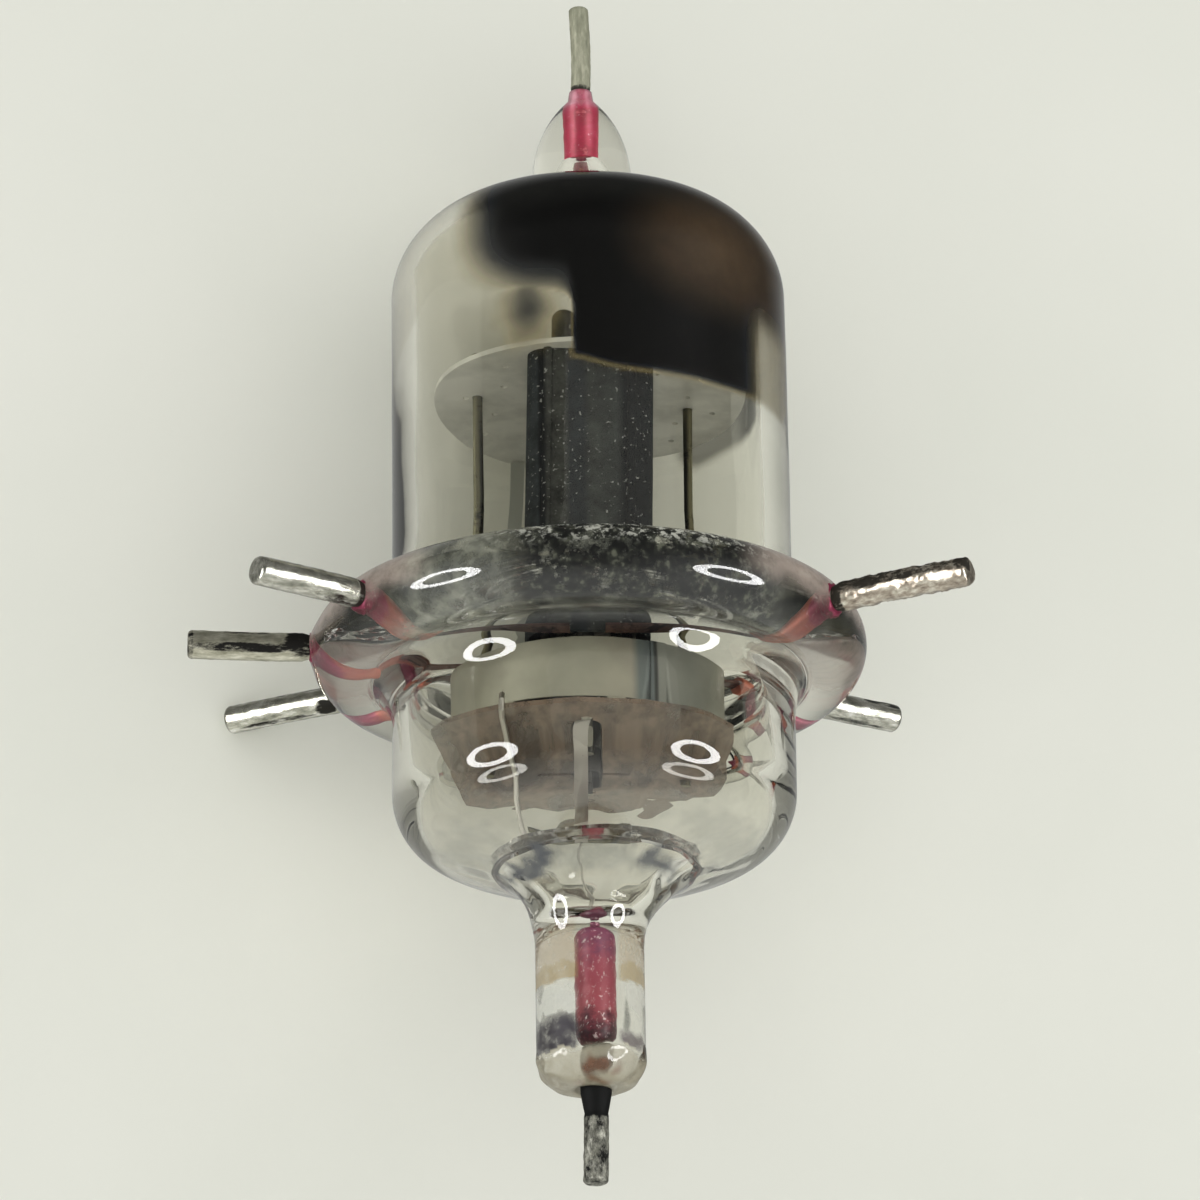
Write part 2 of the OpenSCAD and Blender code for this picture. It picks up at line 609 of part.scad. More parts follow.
// The lower mica's chipped edge: bearing, and share of its greatest radius
mica_edge = [[0, 0.84], [16, 0.84], [29, 0.87], [41, 0.83], [53, 0.96], [65, 0.99], [82, 0.97],
    [100, 0.98], [118, 1], [128, 0.99], [136, 0.94], [144, 0.93], [155, 0.86], [167, 0.82],
    [189, 0.86], [205, 0.95], [217, 0.98], [232, 0.97], [242, 0.97], [267, 0.98], [289, 0.99],
    [305, 1], [313, 0.99], [328, 0.96], [343, 0.87]];
wire_notch = 18;
module lower_mica() {
    slot_r = 0.5;
    arch = control_size[1] + 1;
    color("RosyBrown", 0.6) on_mount() translate([0, 0, lower_mica_foot])
        linear_extrude(mica_t) difference() {
            polygon([for (e = mica_edge) lower_mica_r * e[1] * [cos(e[0]), sin(e[0])]]);
            rod_holes(lower_mica_foot + mica_t / 2);
            grid_holes();
            translate([-1.9, -0.15]) square([3.4, 0.3]);
            translate([-slot_r, -arch]) square([2 * slot_r, arch]);
            translate([0, -arch]) circle(slot_r);
        }
}
module shield_cup() {
    feet_a = [-125, -78, -52, 40, 140];
    color("Gray") on_mount() {
        translate([0, 0, shield_top - shield_sheet]) linear_extrude(shield_sheet) difference() {
            circle(shield_r);
            stadium(window);
            rod_holes(shield_top - shield_sheet / 2);
        }
        translate([0, 0, shield_foot]) linear_extrude(shield_h) difference() {
            circle(shield_r);
            circle(shield_r - shield_sheet);
        }
        for (a = feet_a) rotate([0, 0, a])
            translate([shield_r - shield_sheet * 0.95, -0.3, lower_mica_top])
                cube([shield_sheet * 0.8, 0.6, foot_h + 0.2]);
        rotate([0, 0, -60]) translate([shield_r - shield_sheet / 2, -0.3, shield_foot])
            cube([shield_sheet, 0.6, shield_h]);
    }
}
module support_rod(p, lean, tail) {
    foot = lower_mica_foot - 0.3;
    color("OliveDrab") on_mount() translate([p[0], p[1], strap_z]) rotate([0, -lean, 0])
        translate([0, 0, foot - strap_z]) cylinder(r = rod_r, h = upper_mica_top + tail - foot);
}
module left_support_rod() { support_rod(left_rod, left_rod_lean, left_rod_tail); }
module right_support_rod() { support_rod(right_rod, 0, rod_tail); }
module rear_stay() {
    color("LightSlateGray") on_mount() sweep([
        [rear_stay[0], rear_stay[1], shield_top + fit_gap],
        [rear_stay[0], rear_stay[1] + 0.1, shield_top + 1],
        [rear_stay[0], rear_stay[1] + 1.1, upper_mica_foot - fit_gap]],
        flat_section(stay_w, ribbon_t), [0, 1, 0]);
}
module getter_carrier() {
    color("DimGray") on_mount() translate([2.6, -1.6, upper_mica_top]) {
        cube([ribbon_t, 0.5, 1.6]);
        translate([0, -1.2, 1.6]) difference() {
            cube([0.7, 2.9, 0.35]);
            translate([ribbon_t, -1, ribbon_t]) cube([0.7 - 2 * ribbon_t, 5, 1]);
        }
    }
}

upper_bulb();
lower_bulb();
getter_film();
heater_pin_a();
cathode_pin();
heater_pin_b();
screen_pin();
suppressor_pin();
heater_seal_a();
cathode_seal();
heater_seal_b();
screen_seal();
suppressor_seal();
heater_strap_a();
cathode_strap();
heater_strap_b();
screen_strap();
suppressor_strap();
grid_pin();
grid_seal();
grid_lead();
plate_pin();
plate_seal();
plate_lead();
plate_bar();
anode_strap();
mount_wire();
anode();
suppressor_grid();
screen_grid();
control_grid();
cathode_sleeve();
heater();
upper_mica();
lower_mica();
shield_cup();
left_support_rod();
right_support_rod();
rear_stay();
getter_carrier();
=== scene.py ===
import math

import bpy
from mathutils import Matrix, Vector, noise


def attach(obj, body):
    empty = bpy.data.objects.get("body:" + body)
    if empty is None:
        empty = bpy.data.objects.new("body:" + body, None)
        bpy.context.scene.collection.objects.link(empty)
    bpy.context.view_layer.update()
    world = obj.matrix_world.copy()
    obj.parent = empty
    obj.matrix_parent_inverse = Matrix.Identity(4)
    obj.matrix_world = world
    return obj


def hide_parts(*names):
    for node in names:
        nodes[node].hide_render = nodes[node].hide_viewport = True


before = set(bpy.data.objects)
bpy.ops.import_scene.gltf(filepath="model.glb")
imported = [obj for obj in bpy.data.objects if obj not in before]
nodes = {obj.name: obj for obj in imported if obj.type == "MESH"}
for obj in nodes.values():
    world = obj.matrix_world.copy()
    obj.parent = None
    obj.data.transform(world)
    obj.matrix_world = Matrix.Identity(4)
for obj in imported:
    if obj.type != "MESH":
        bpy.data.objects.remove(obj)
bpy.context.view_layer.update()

# An acorn tube lying on pale paper, dressed on its CAD frame.
# Pieces are drawn upright on the tube's own axis, in mm, and tubeToRow lays them down.

lie = {
    "tilt": 11.42059,  # degrees that the stem end stands higher than the nipple end
    "roll": -12.87696,  # degrees about the axis, onto one radial pin
    "centre": (0.62662, -2.88367, 9.68328),  # mm, the middle of the bead
}
tubeToRow = (
    Matrix.Translation(Vector(lie["centre"]) / 1000)
    @ Matrix.Rotation(math.radians(-90 - lie["tilt"]), 4, "X")
    @ Matrix.Rotation(math.radians(lie["roll"]), 4, "Z")
    @ Matrix.Scale(0.001, 4)
)
turnToTube = tubeToRow.to_3x3().normalized().inverted()
tubeMapping = {  # a Mapping node's settings: row metres to tube millimetres
    "Scale": (1000, 1000, 1000),
    "Rotation": turnToTube.to_euler(),
    "Location": -(turnToTube @ Vector(lie["centre"])),
}


def polar(radius, bearing, height=0.0):
    a = math.radians(bearing)
    return Vector((radius * math.cos(a), radius * math.sin(a), height))


sideAxis = polar(1, -2.1)  # to the right of the picture
nearAxis = polar(1, -92.1)  # towards the camera
stemAxis = Vector((0, 0, -1))


def smooth(value, low, high):
    t = min(max((value - low) / (high - low), 0.0), 1.0)
    return t * t * (3 - 2 * t)


def rough(point, size, seed=0.0):
    # soft noise from -1 to 1, with lumps about size mm across
    return noise.noise(Vector(point) / size + Vector((seed * 7.3, seed * 3.1, seed * 5.7)))


def linearColour(code, alpha=1.0):
    channels = [int(code[i : i + 2], 16) / 255 for i in (1, 3, 5)]
    return tuple(c / 12.92 if c <= 0.04045 else ((c + 0.055) / 1.055) ** 2.4 for c in channels) + (alpha,)


def addNode(tree, kind, settings=None, links=None):
    node = tree.nodes.new("ShaderNode" + kind)
    for key, value in (settings or {}).items():
        if key == "stops":
            stops = node.color_ramp.elements
            while len(stops) < len(value):
                stops.new(0.5)
            for stop, (place, colour) in zip(stops, value):
                stop.position = place
                stop.color = linearColour(colour) if isinstance(colour, str) else colour
        elif isinstance(key, int) or key in node.inputs:
            node.inputs[key].default_value = value
        else:
            setattr(node, key, value)
    for key, source in (links or {}).items():  # a socket, or a node for its first output
        socket = source.outputs[0] if isinstance(source, bpy.types.Node) else source
        tree.links.new(socket, node.inputs[key])
    return node


def newMaterial(name):
    material = bpy.data.materials.new(name)
    material.use_nodes = True
    material.node_tree.nodes.clear()
    return material, material.node_tree


def tubeMaterial(name, finish, look=None):
    # finish makes the surface from where a point is on the tube, in mm, and what is adjustable about it
    material, tree = newMaterial(name)
    place = addNode(tree, "Mapping", tubeMapping, {"Vector": addNode(tree, "TexCoord").outputs["Object"]})
    addNode(tree, "OutputMaterial", links={"Surface": finish(tree, place, look)})
    return material


def grey(level):
    return (level, level, level, 1.0)


def dress(material, *names):
    for name in names:
        for place in nodes[name].material_slots:
            place.material = material


def addMesh(name, points, faces, material, replaced=(), marks=None, paint=None):
    # points in tube mm; marks are per-point numbers and paint per-point colours that the material reads
    mesh = bpy.data.meshes.new(name)
    mesh.from_pydata([tubeToRow @ Vector(p) for p in points], [], faces)
    mesh.update()
    for mark, values in (marks or {}).items():
        mesh.attributes.new(mark, "FLOAT", "POINT").data.foreach_set("value", values)
    if paint:
        flat = [channel for colour in paint for channel in colour]
        mesh.attributes.new("paint", "FLOAT_COLOR", "POINT").data.foreach_set("color", flat)
    mesh.polygons.foreach_set("use_smooth", [True] * len(mesh.polygons))
    mesh.materials.append(material)
    piece = bpy.data.objects.new(name, mesh)
    bpy.context.scene.collection.objects.link(piece)
    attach(piece, "root")
    if replaced:
        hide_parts(*replaced)
    return piece


def spin(line, sectors, warp, points, faces, marks, mark):
    # turns a line of (radius, height) about the axis; its ends are on the axis or open
    rings = []
    for radius, height in line:
        count = 1 if radius < 1e-6 else sectors
        rings.append(list(range(len(points), len(points) + count)))
        for i in range(count):
            p = warp(radius, 360 * i / count, height)
            points.append(p)
            for key in marks:
                marks[key].append(mark[key](p))
    for a, b in zip(rings, rings[1:]):
        for i in range(sectors):
            j = (i + 1) % sectors
            if len(a) == 1:
                faces.append((a[0], b[i], b[j]))
            elif len(b) == 1:
                faces.append((a[i], b[0], a[j]))
            else:
                faces.append((a[i], b[i], b[j], a[j]))


# Camera, floor and light
view = {
    "pitch": 21.2,  # degrees that the camera stands towards the stem end
    "lean": 0.9,  # degrees of the tube's lean in the picture
    "aside": (-0.40, 1.86),  # mm from the picture's middle to the bead's middle, right and down
    "distance": 220.0,  # mm
    "focal": 6204.0,  # pixels of a 1200 pixel picture
}
pitch, lean = math.radians(view["pitch"]), math.radians(view["lean"])
across = math.cos(pitch) * stemAxis - math.sin(pitch) * nearAxis
rightWay = math.cos(lean) * sideAxis + math.sin(lean) * across
downWay = math.cos(lean) * across - math.sin(lean) * sideAxis
awayWay = -math.sin(pitch) * stemAxis - math.cos(pitch) * nearAxis
eye = -view["aside"][0] * rightWay - view["aside"][1] * downWay - view["distance"] * awayWay


def rowWay(way):
    return (tubeToRow.to_3x3() @ way).normalized()


camera = bpy.data.objects.new("camera", bpy.data.cameras.new("camera"))
bpy.context.scene.collection.objects.link(camera)
bpy.context.scene.camera = camera
camera.data.sensor_width = 36
camera.data.lens = 36 * view["focal"] / 1200
camera.data.clip_start, camera.data.clip_end = 0.01, 20
placed = Matrix((rowWay(rightWay), -rowWay(downWay), -rowWay(awayWay))).transposed().to_4x4()
placed.translation = tubeToRow @ eye
camera.matrix_world = placed
print("camera placed")

paper = {"colour": "#ebebe4", "shade": "#e4e5dd", "fibre": 0.9, "size": 1.6}


def pressedPaper():
    # uncoated paper, pressed: matt, almost flat, faint fibres that show only in raking light
    material, tree = newMaterial("pressedPaper")
    place = addNode(tree, "TexCoord").outputs["Object"]
    cloud = addNode(tree, "TexNoise", {"Scale": 40, "Detail": 3}, {"Vector": place})
    tone = addNode(tree, "ValToRGB", {"stops": [(0.3, paper["shade"]), (0.7, paper["colour"])]}, {0: cloud})
    fibre = addNode(
        tree, "TexNoise", {"Scale": 1000 / paper["fibre"], "Detail": 5, "Roughness": 0.6}, {"Vector": place}
    )
    bump = addNode(tree, "Bump", {"Strength": 0.12, "Distance": 0.00004}, {"Height": fibre})
    skin = addNode(
        tree,
        "BsdfPrincipled",
        {"Roughness": 0.85, "Specular IOR Level": 0.2},
        {"Base Color": tone, "Normal": bump},
    )
    addNode(tree, "OutputMaterial", links={"Surface": skin})
    return material


half = paper["size"] / 2
sheet = bpy.data.meshes.new("floor")
corners = [(-half, -half, 0), (half, -half, 0), (half, half, 0), (-half, half, 0)]
sheet.from_pydata(corners, [], [(0, 1, 2, 3)])
sheet.materials.append(pressedPaper())
floor = bpy.data.objects.new("floor", sheet)
bpy.context.scene.collection.objects.link(floor)
floor.visible_glossy = False  # what the glass mirrors of it comes softly from the room

light = {
    "room": "#f7f8f4",
    "air": 0.76,  # the soft light that fills the room
    "window": (0.9, 0.1, 0.9),  # what glass and metal mirror: strength, from and to, towards the stem end
    "table": (0.42, 0.25, 1.0),  # the same downwards, for the paper
    "dark": 0.06,  # the unlit rest of the room
    "box": {"size": 1.2, "height": 0.6, "watts": 1.75, "colour": "#fffffb"},
    "ring": {"outer": 124.0, "inner": 78.0, "distance": 430.0},  # mm
    "ringGlow": {"colour": "#ffffff", "strength": 18.0, "bounces": 3.5},
    "ringSides": (-58.0, 58.0),  # degrees from the camera's line, left and right
    "ringLift": 4.0,  # degrees towards the top of the picture
}
world = bpy.data.worlds.new("room")
bpy.context.scene.world = world
world.use_nodes = True
roomTree = world.node_tree
roomTree.nodes.clear()
roomWay = addNode(roomTree, "TexCoord").outputs["Generated"]


def roomSide(way, strength, low, high):
    # a part of the room that shines from the side way
    towards = addNode(roomTree, "VectorMath", {"operation": "DOT_PRODUCT", 1: way}, {0: roomWay})
    fade = {"interpolation_type": "SMOOTHSTEP", "From Min": low, "From Max": high, "To Max": strength}
    return addNode(roomTree, "MapRange", fade, {"Value": towards.outputs["Value"]})


window = roomSide(rowWay(stemAxis), *light["window"])
table = roomSide(Vector((0, 0, -1)), *light["table"])
mirrored = addNode(roomTree, "Math", {"operation": "ADD"}, {0: window, 1: table})
dim = addNode(roomTree, "Math", {"operation": "MAXIMUM", 1: light["dark"]}, {0: mirrored})
ray = addNode(roomTree, "LightPath").outputs
# rays that glass or metal has mirrored and nothing matt has scattered
depths = {0: ray["Glossy Depth"], 1: ray["Diffuse Depth"]}
mirror = addNode(roomTree, "Math", {"operation": "SUBTRACT", "use_clamp": True}, depths)
level = addNode(roomTree, "Mix", {"data_type": "FLOAT", 2: light["air"]}, {0: mirror, 3: dim})
glow = addNode(roomTree, "Background", {"Color": linearColour(light["room"])}, {"Strength": level})
addNode(roomTree, "OutputWorld", links={"Surface": glow})

softBox = bpy.data.lights.new("softBox", "AREA")
softBox.shape = "DISK"
softBox.size = light["box"]["size"]
softBox.energy = light["box"]["watts"]
softBox.color = linearColour(light["box"]["colour"])[:3]
softBoxLamp = bpy.data.objects.new("softBox", softBox)
bpy.context.scene.collection.objects.link(softBoxLamp)
softBoxLamp.location = (0.0, 0.05, light["box"]["height"])
softBoxLamp.visible_glossy = False  # the glass mirrors the ring lamps only
softBoxLamp.rotation_euler = (-softBoxLamp.location).to_track_quat("-Z", "Y").to_euler()


def ringLamp(name, side):
    # a round ring lamp: the glass shows it as a small white ring
    shape = light["ring"]
    a, b = math.radians(side), math.radians(light["ringLift"])
    way = math.cos(b) * (-math.cos(a) * awayWay + math.sin(a) * rightWay) - math.sin(b) * downWay
    centre = tubeToRow @ (way * shape["distance"])
    facing = rowWay(-way).to_track_quat("Z", "Y").to_matrix()
    points, faces = [], []
    for i in range(64):
        t = 2 * math.pi * i / 64
        for radius in (shape["outer"], shape["inner"]):
            points.append(centre + facing @ Vector((radius * math.cos(t), radius * math.sin(t), 0)) / 1000)
        faces.append((2 * i, 2 * i + 1, (2 * i + 3) % 128, (2 * i + 2) % 128))
    mesh = bpy.data.meshes.new(name)
    mesh.from_pydata(points, [], faces)
    material, tree = newMaterial(name)
    ring = light["ringGlow"]
    # only the first rings in the glass, so that later bounces don't speckle what lies behind it
    bounces = addNode(tree, "LightPath").outputs["Ray Depth"]
    early = addNode(tree, "Math", {"operation": "LESS_THAN", 1: ring["bounces"]}, {0: bounces})
    power = addNode(tree, "Math", {"operation": "MULTIPLY", 1: ring["strength"]}, {0: early})
    shine = addNode(tree, "Emission", {"Color": linearColour(ring["colour"])}, {"Strength": power})
    addNode(tree, "OutputMaterial", links={"Surface": shine})
    mesh.materials.append(material)
    lamp = bpy.data.objects.new(name, mesh)
    lamp.visible_camera = False
    lamp.visible_diffuse = False  # seen in the glass and metal; the soft box lights the paper
    bpy.context.scene.collection.objects.link(lamp)


ringLamp("leftRingLamp", light["ringSides"][0])
ringLamp("rightRingLamp", light["ringSides"][1])
print("floor and light placed")

# Glass
glass = {
    "bulb": 7.1,
    "wall": 0.8,
    "crownWall": {"upper": 0.7, "lower": 0.45},  # mm, blown thinner at the two ends
    "innerShoulder": {"upper": 2.4, "lower": 1.5},
    "upper": (17.6, 12.0, 3.3),  # mm: top, crown radius, shoulder radius
    "lower": (8.75, 14.0, 2.4),
    "beadReach": 9.85,
    "bead": 1.43,
    "beadFillet": 0.7,
    "flare": (2.7, 2.8, 0.5),  # mm: the long flare under the bead, where it starts, its last round
    "lip": 1.6,
    "groove": 7.5,
    "nipple": 1.8,
    "nippleFillet": 0.5,
    "nippleFoot": 0.8,
    "nose": 3.15,
    "collar": (0.4, 0.42, 0.06),  # mm: height, radius, flare
    "stem": 1.9,
    "stemFlare": 3.0,
    "stemEnd": 16.3,
    "stemRound": 1.25,
    "sealFoot": 0.55,  # mm above the nipple's foot, where the hollow ends
    "hollowEnd": 10.15,
    "tipCone": 1.3,  # mm, where the crown turns up into the nipple inside
    "bulbAside": 0.15,  # mm that both domes stand to the right of the bead
    "stemAside": -0.12,
    "oval": {"outer": 0.035, "inner": 0.03},  # mm that the walls are out of round
    "lump": 0.02,  # mm that they are uneven
    "funnelWave": 0.13,
    "pinSwell": 0.13,  # mm that the bead stands out round a pin
    "stemLump": 0.11,
    "sectors": 208,
}


def arc(cx, cz, r, start, end, steps):
    angles = [math.radians(start + (end - start) * i / steps) for i in range(steps + 1)]
    return [(cx + r * math.cos(a), cz + r * math.sin(a)) for a in angles]


def shoulderHeight(top, crown, shoulder):
    return top - crown + math.sqrt((crown - shoulder) ** 2 - (glass["bulb"] - shoulder) ** 2)


def blendAngle(top, crown, shoulder):
    return math.degrees(
        math.atan2(shoulderHeight(top, crown, shoulder) - top + crown, glass["bulb"] - shoulder)
    )


def tipCentre(top, crown, tip, fillet):
    return tip + fillet, top - crown + math.sqrt((crown + fillet) ** 2 - (tip + fillet) ** 2)


def tipAngle(top, crown, tip, fillet):
    cx, cz = tipCentre(top, crown, tip, fillet)
    return math.degrees(math.atan2(cz - top + crown, cx))


def beadToBulb(flared):
    # from the bead's plane to the straight wall, over a tight fillet or a long flare
    beadCentre = glass["beadReach"] - glass["bead"]
    if not flared:
        fx = glass["bulb"] + glass["beadFillet"]
        fz = math.sqrt((glass["bead"] + glass["beadFillet"]) ** 2 - (beadCentre - fx) ** 2)
        turn = math.degrees(math.atan2(fz, fx - beadCentre))
        line = arc(beadCentre, 0, glass["bead"], 0, turn, 22)
        return line + arc(fx, fz, glass["beadFillet"], turn - 180, -180, 10)[1:]
    big, start, small = glass["flare"]
    gap = Vector((glass["bulb"] + big - beadCentre, start))
    reach, span = glass["bead"] + small, gap.length
    along = (reach**2 - (big - small) ** 2 + span**2) / (2 * span)
    off = math.sqrt(reach**2 - along**2)
    centre = Vector((beadCentre, 0)) + gap / span * along + Vector((-gap.y, gap.x)) / span * off
    turn = math.degrees(math.atan2(centre.y, centre.x - beadCentre))
    blend = math.degrees(math.atan2(centre.y - start, centre.x - glass["bulb"] - big))
    line = arc(beadCentre, 0, glass["bead"], 0, turn, 22)
    line += arc(centre.x, centre.y, small, turn - 180, blend, 8)[1:]
    return line + arc(glass["bulb"] + big, start, big, blend, -180, 16)[1:]


def outerLine(top, crown, shoulder, tip, fillet, flared=False):
    # from the bead's plane to the foot of the nipple or stem
    a, t = blendAngle(top, crown, shoulder), tipAngle(top, crown, tip, fillet)
    cx, cz = tipCentre(top, crown, tip, fillet)
    line = beadToBulb(flared)
    fz = line[-1][1]
    shoulderFoot = shoulderHeight(top, crown, shoulder)
    for i in range(1, 14):
        line.append((glass["bulb"], fz + (shoulderFoot - fz) * i / 14))
    line += arc(glass["bulb"] - shoulder, shoulderFoot, shoulder, 0, a, 16)
    line += arc(0, top - crown, crown, a, t, 9)[1:]
    return line + arc(cx, cz, fillet, t + 180, 180, 10)[1:]


def innerLine(half, endAngle):
    # from the bulb's inner wall at the shoulder to the angle endAngle on the crown
    top, crown, _ = glass[half]
    sphere, r = crown - glass["crownWall"][half], glass["innerShoulder"][half]
    out = glass["bulb"] - glass["wall"] - r
    rise = math.sqrt((sphere - r) ** 2 - out**2)
    a = math.degrees(math.atan2(rise, out))
    line = arc(out, top - crown + rise, r, 0, a, 14)
    return line + arc(0, top - crown, sphere, a, endAngle, 8)[1:]


def lipLine():
    inner = glass["bulb"] - glass["wall"]
    turn = math.degrees(math.acos((inner + glass["lip"] - glass["groove"]) / glass["lip"]))
    line = arc(inner + glass["lip"], glass["lip"], glass["lip"], 180 + turn, 180, 14)
    return [(glass["groove"], 0)] + line


def below(line):
    return [(r, -z) for r, z in line]


def outerProfile():
    top = glass["upper"][0]
    height, collar, flare = glass["collar"]
    drop = glass["nipple"] - collar - flare
    noseRadius = (glass["nose"] ** 2 + drop**2) / (2 * drop)
    noseFoot = top + glass["nippleFoot"]
    noseTop = noseFoot + glass["nose"]
    turn = math.degrees(math.asin(glass["nose"] / noseRadius))
    upper = outerLine(*glass["upper"], glass["nipple"], glass["nippleFillet"])
    upper += arc(glass["nipple"] - noseRadius, noseFoot, noseRadius, 0, turn, 18)
    upper += [(collar, noseTop + height), (collar * 0.5, noseTop + height), (0, noseTop + height)]
    lower = outerLine(*glass["lower"], glass["stem"], glass["stemFlare"], flared=True)
    foot = lower[-1][1]
    end = glass["stemEnd"]
    stem, radius = glass["stem"], glass["stemRound"]
    lower += [(stem, foot + (end - radius - foot) * i / 44) for i in range(1, 44)]
    lower += [
        (0.62 + (stem - 0.62) * math.cos(t) ** 0.8, end - radius + (radius - 0.12) * math.sin(t))
        for t in [math.radians(90 * i / 22) for i in range(22)]
    ]
    lower += [(0.6, end - 0.14), (0.53, end - 0.4), (0.25, end - 0.4), (0, end - 0.4)]
    return upper[::-1] + below(lower)[1:]


def cavityProfile():
    top, crown = glass["upper"][:2]
    sealFoot = top + glass["nippleFoot"] + glass["sealFoot"]
    coneAngle = math.degrees(math.acos(glass["tipCone"] / (crown - glass["crownWall"]["upper"])))
    upper = lipLine() + innerLine("upper", coneAngle)
    cone = upper[-1]
    for i in range(1, 9):
        upper.append((cone[0] + (0.45 - cone[0]) * i / 8, cone[1] + (sealFoot - cone[1]) * i / 8))
    upper += [(0.3, sealFoot + 0.03), (0, sealFoot + 0.03)]
    cx, cz = tipCentre(*glass["lower"][:2], glass["stem"], glass["stemFlare"])
    turn = tipAngle(*glass["lower"][:2], glass["stem"], glass["stemFlare"])
    lower = lipLine() + innerLine("lower", turn + 3)
    funnel = glass["stemFlare"] + glass["wall"]
    last = 180 + math.degrees(math.asin((cz - glass["hollowEnd"]) / funnel))
    lower += arc(cx, cz, funnel, turn + 180, last + 10, 12)[1:]
    rim, high = lower[-1]
    bowl = [math.radians(90 * i / 9) for i in range(1, 9)]
    lower += [(rim * math.cos(t), high + (glass["hollowEnd"] - high) * math.sin(t)) for t in bowl]
    lower.append((0, glass["hollowEnd"] + 0.01))
    return upper[::-1] + below(lower)[1:]


def glassPoint(radius, bearing, height, inner):
    # hand-blown glass: domes a little aside of the bead, walls a little uneven
    aside = glass["bulbAside"] * smooth(abs(height), 1.0, 2.6)
    aside += (glass["stemAside"] - glass["bulbAside"]) * smooth(-height, 8.6, 10.4)
    aside *= 1 - smooth(height, 17.0, 19.0)
    t = math.radians(bearing)
    p = Vector((radius * math.cos(t), radius * math.sin(t), height))
    onBulb = smooth(radius, 1.2, 5.0) * (1 - 0.6 * smooth(radius, 7.3, 8.0))
    if inner:
        bulge = glass["oval"]["inner"] * math.sin(2 * t + 2.1) + 0.008 * math.sin(5 * t + height * 0.5)
        bulge = (bulge + glass["lump"] * rough(p, 3.0, 3)) * onBulb
        onFunnel = smooth(-height, 7.0, 7.8) * smooth(radius, 0.0, 0.6)  # pulled out by hand: wavy
        bulge += glass["funnelWave"] * onFunnel * rough(p, 0.9, 12)
    else:
        bulge = glass["oval"]["outer"] * math.sin(2 * t + 0.6) + 0.02 * math.sin(3 * t + height * 0.2)
        bulge = (bulge + glass["lump"] * rough(p, 2.5, 5)) * onBulb
    return p + Vector((math.cos(t), math.sin(t), 0)) * bulge + sideAxis * aside


def pinBulge(p):
    # the bead swells where each pin's seal was pressed in
    radius = math.hypot(p.x, p.y)
    if radius < 8.3:
        return p
    grow = 0.0
    for bearing in radialBearings.values():
        t = math.radians(bearing)
        sideways = -p.x * math.sin(t) + p.y * math.cos(t)
        if p.x * math.cos(t) + p.y * math.sin(t) > 0:
            grow += math.exp(-(sideways**2 + p.z**2) / 0.55)
    out = Vector((p.x, p.y, 0)).normalized()
    return p + out * glass["pinSwell"] * min(grow, 1.2)


radialBearings = {
    "heater_pin_a": 215.0,
    "cathode_pin": 183.5,
    "heater_pin_b": 152.0,
    "screen_pin": -31.5,
    "suppressor_pin": 31.5,
}


def nearBead(p):
    # 1 on the camera's side of the bead, fading out at its ends and off its round section
    radius = math.hypot(p.x, p.y)
    onBead = smooth(radius, 7.3, 7.9) * (1 - smooth(abs(p.z), 1.5, 1.9))
    return onBead * smooth(p.dot(nearAxis), -1.0, 3.5)


def bloom(p):
    # grey-green haze in the fused seam, thinner where the seals show through at the left
    side = p.dot(sideAxis)
    middle = smooth(side, -3.6, -1.8) * (1 - smooth(side, 4.4, 6.0))
    return nearBead(p) * (1 - 0.6 * middle) * (1 - 0.8 * smooth(abs(side), 5.8, 7.2))


def crust(p):
    # dark residue baked into the bead's seam, on the near side
    side = p.dot(sideAxis)
    reach = smooth(side, -3.6, -1.6) * (1 - 0.9 * smooth(side, 5.6, 7.4))
    lift = smooth(p.z, -1.75 + 0.3 * rough(p, 1.1, 17), -1.15) * (1 - 0.5 * smooth(p.z, 1.05, 1.4))
    return nearBead(p) * reach * lift


def fuzz(p):
    # pale frosted flecks along the top of the bead
    side = p.dot(sideAxis)
    high = smooth(p.z + 0.25 * rough(p, 0.9, 6), 0.25, 0.95)
    return nearBead(p) * high * smooth(side, -4.5, -1.5) * (1 - smooth(side, 4.5, 8.0))


stainsAndShade = [  # colour, strength, middle (side, height), size, ragged edge
    ("#4b4f55", 1.0, (-1.9, -8.62), (0.95, 0.36), 0.8),
    ("#4b4f55", 0.95, (2.0, -8.62), (0.85, 0.34), 0.9),
    ("#8d8f86", 0.45, (0.0, -8.62), (2.7, 0.36), 0.8),
    ("#9fa097", 0.34, (-4.7, -8.0), (1.7, 0.45), 0.7),
    ("#9fa097", 0.30, (4.6, -7.8), (1.7, 0.45), 0.7),
    ("#b09c7c", 0.62, (-1.3, -11.75), (1.7, 1.2), 0.25),
    ("#b09c7c", 0.55, (1.3, -11.8), (1.6, 1.2), 0.25),
    ("#a58d58", 0.75, (-1.3, -12.4), (1.6, 0.65), 0.3),
    ("#a58d58", 0.70, (1.3, -12.4), (1.5, 0.65), 0.3),
    ("#cfd0c9", 0.66, (-1.35, -13.4), (0.95, 0.7), 0.55),
    ("#d5d4cc", 0.45, (1.4, -13.2), (0.6, 0.75), 0.5),
    ("#332c36", 1.00, (-1.3, -14.6), (1.5, 0.98), 0.18),
    ("#5f5256", 0.90, (1.25, -14.75), (0.55, 0.34), 0.5),
    ("#63645c", 0.75, (1.12, -13.9), (0.13, 0.9), 0.5),
    # painted shade: the next two darken the stem's left and right edges
    ("#6f706a", 0.60, (-1.85, -13.7), (0.22, 1.6), 0.3),
    ("#6f706a", 0.50, (1.85, -13.9), (0.20, 1.6), 0.3),
]


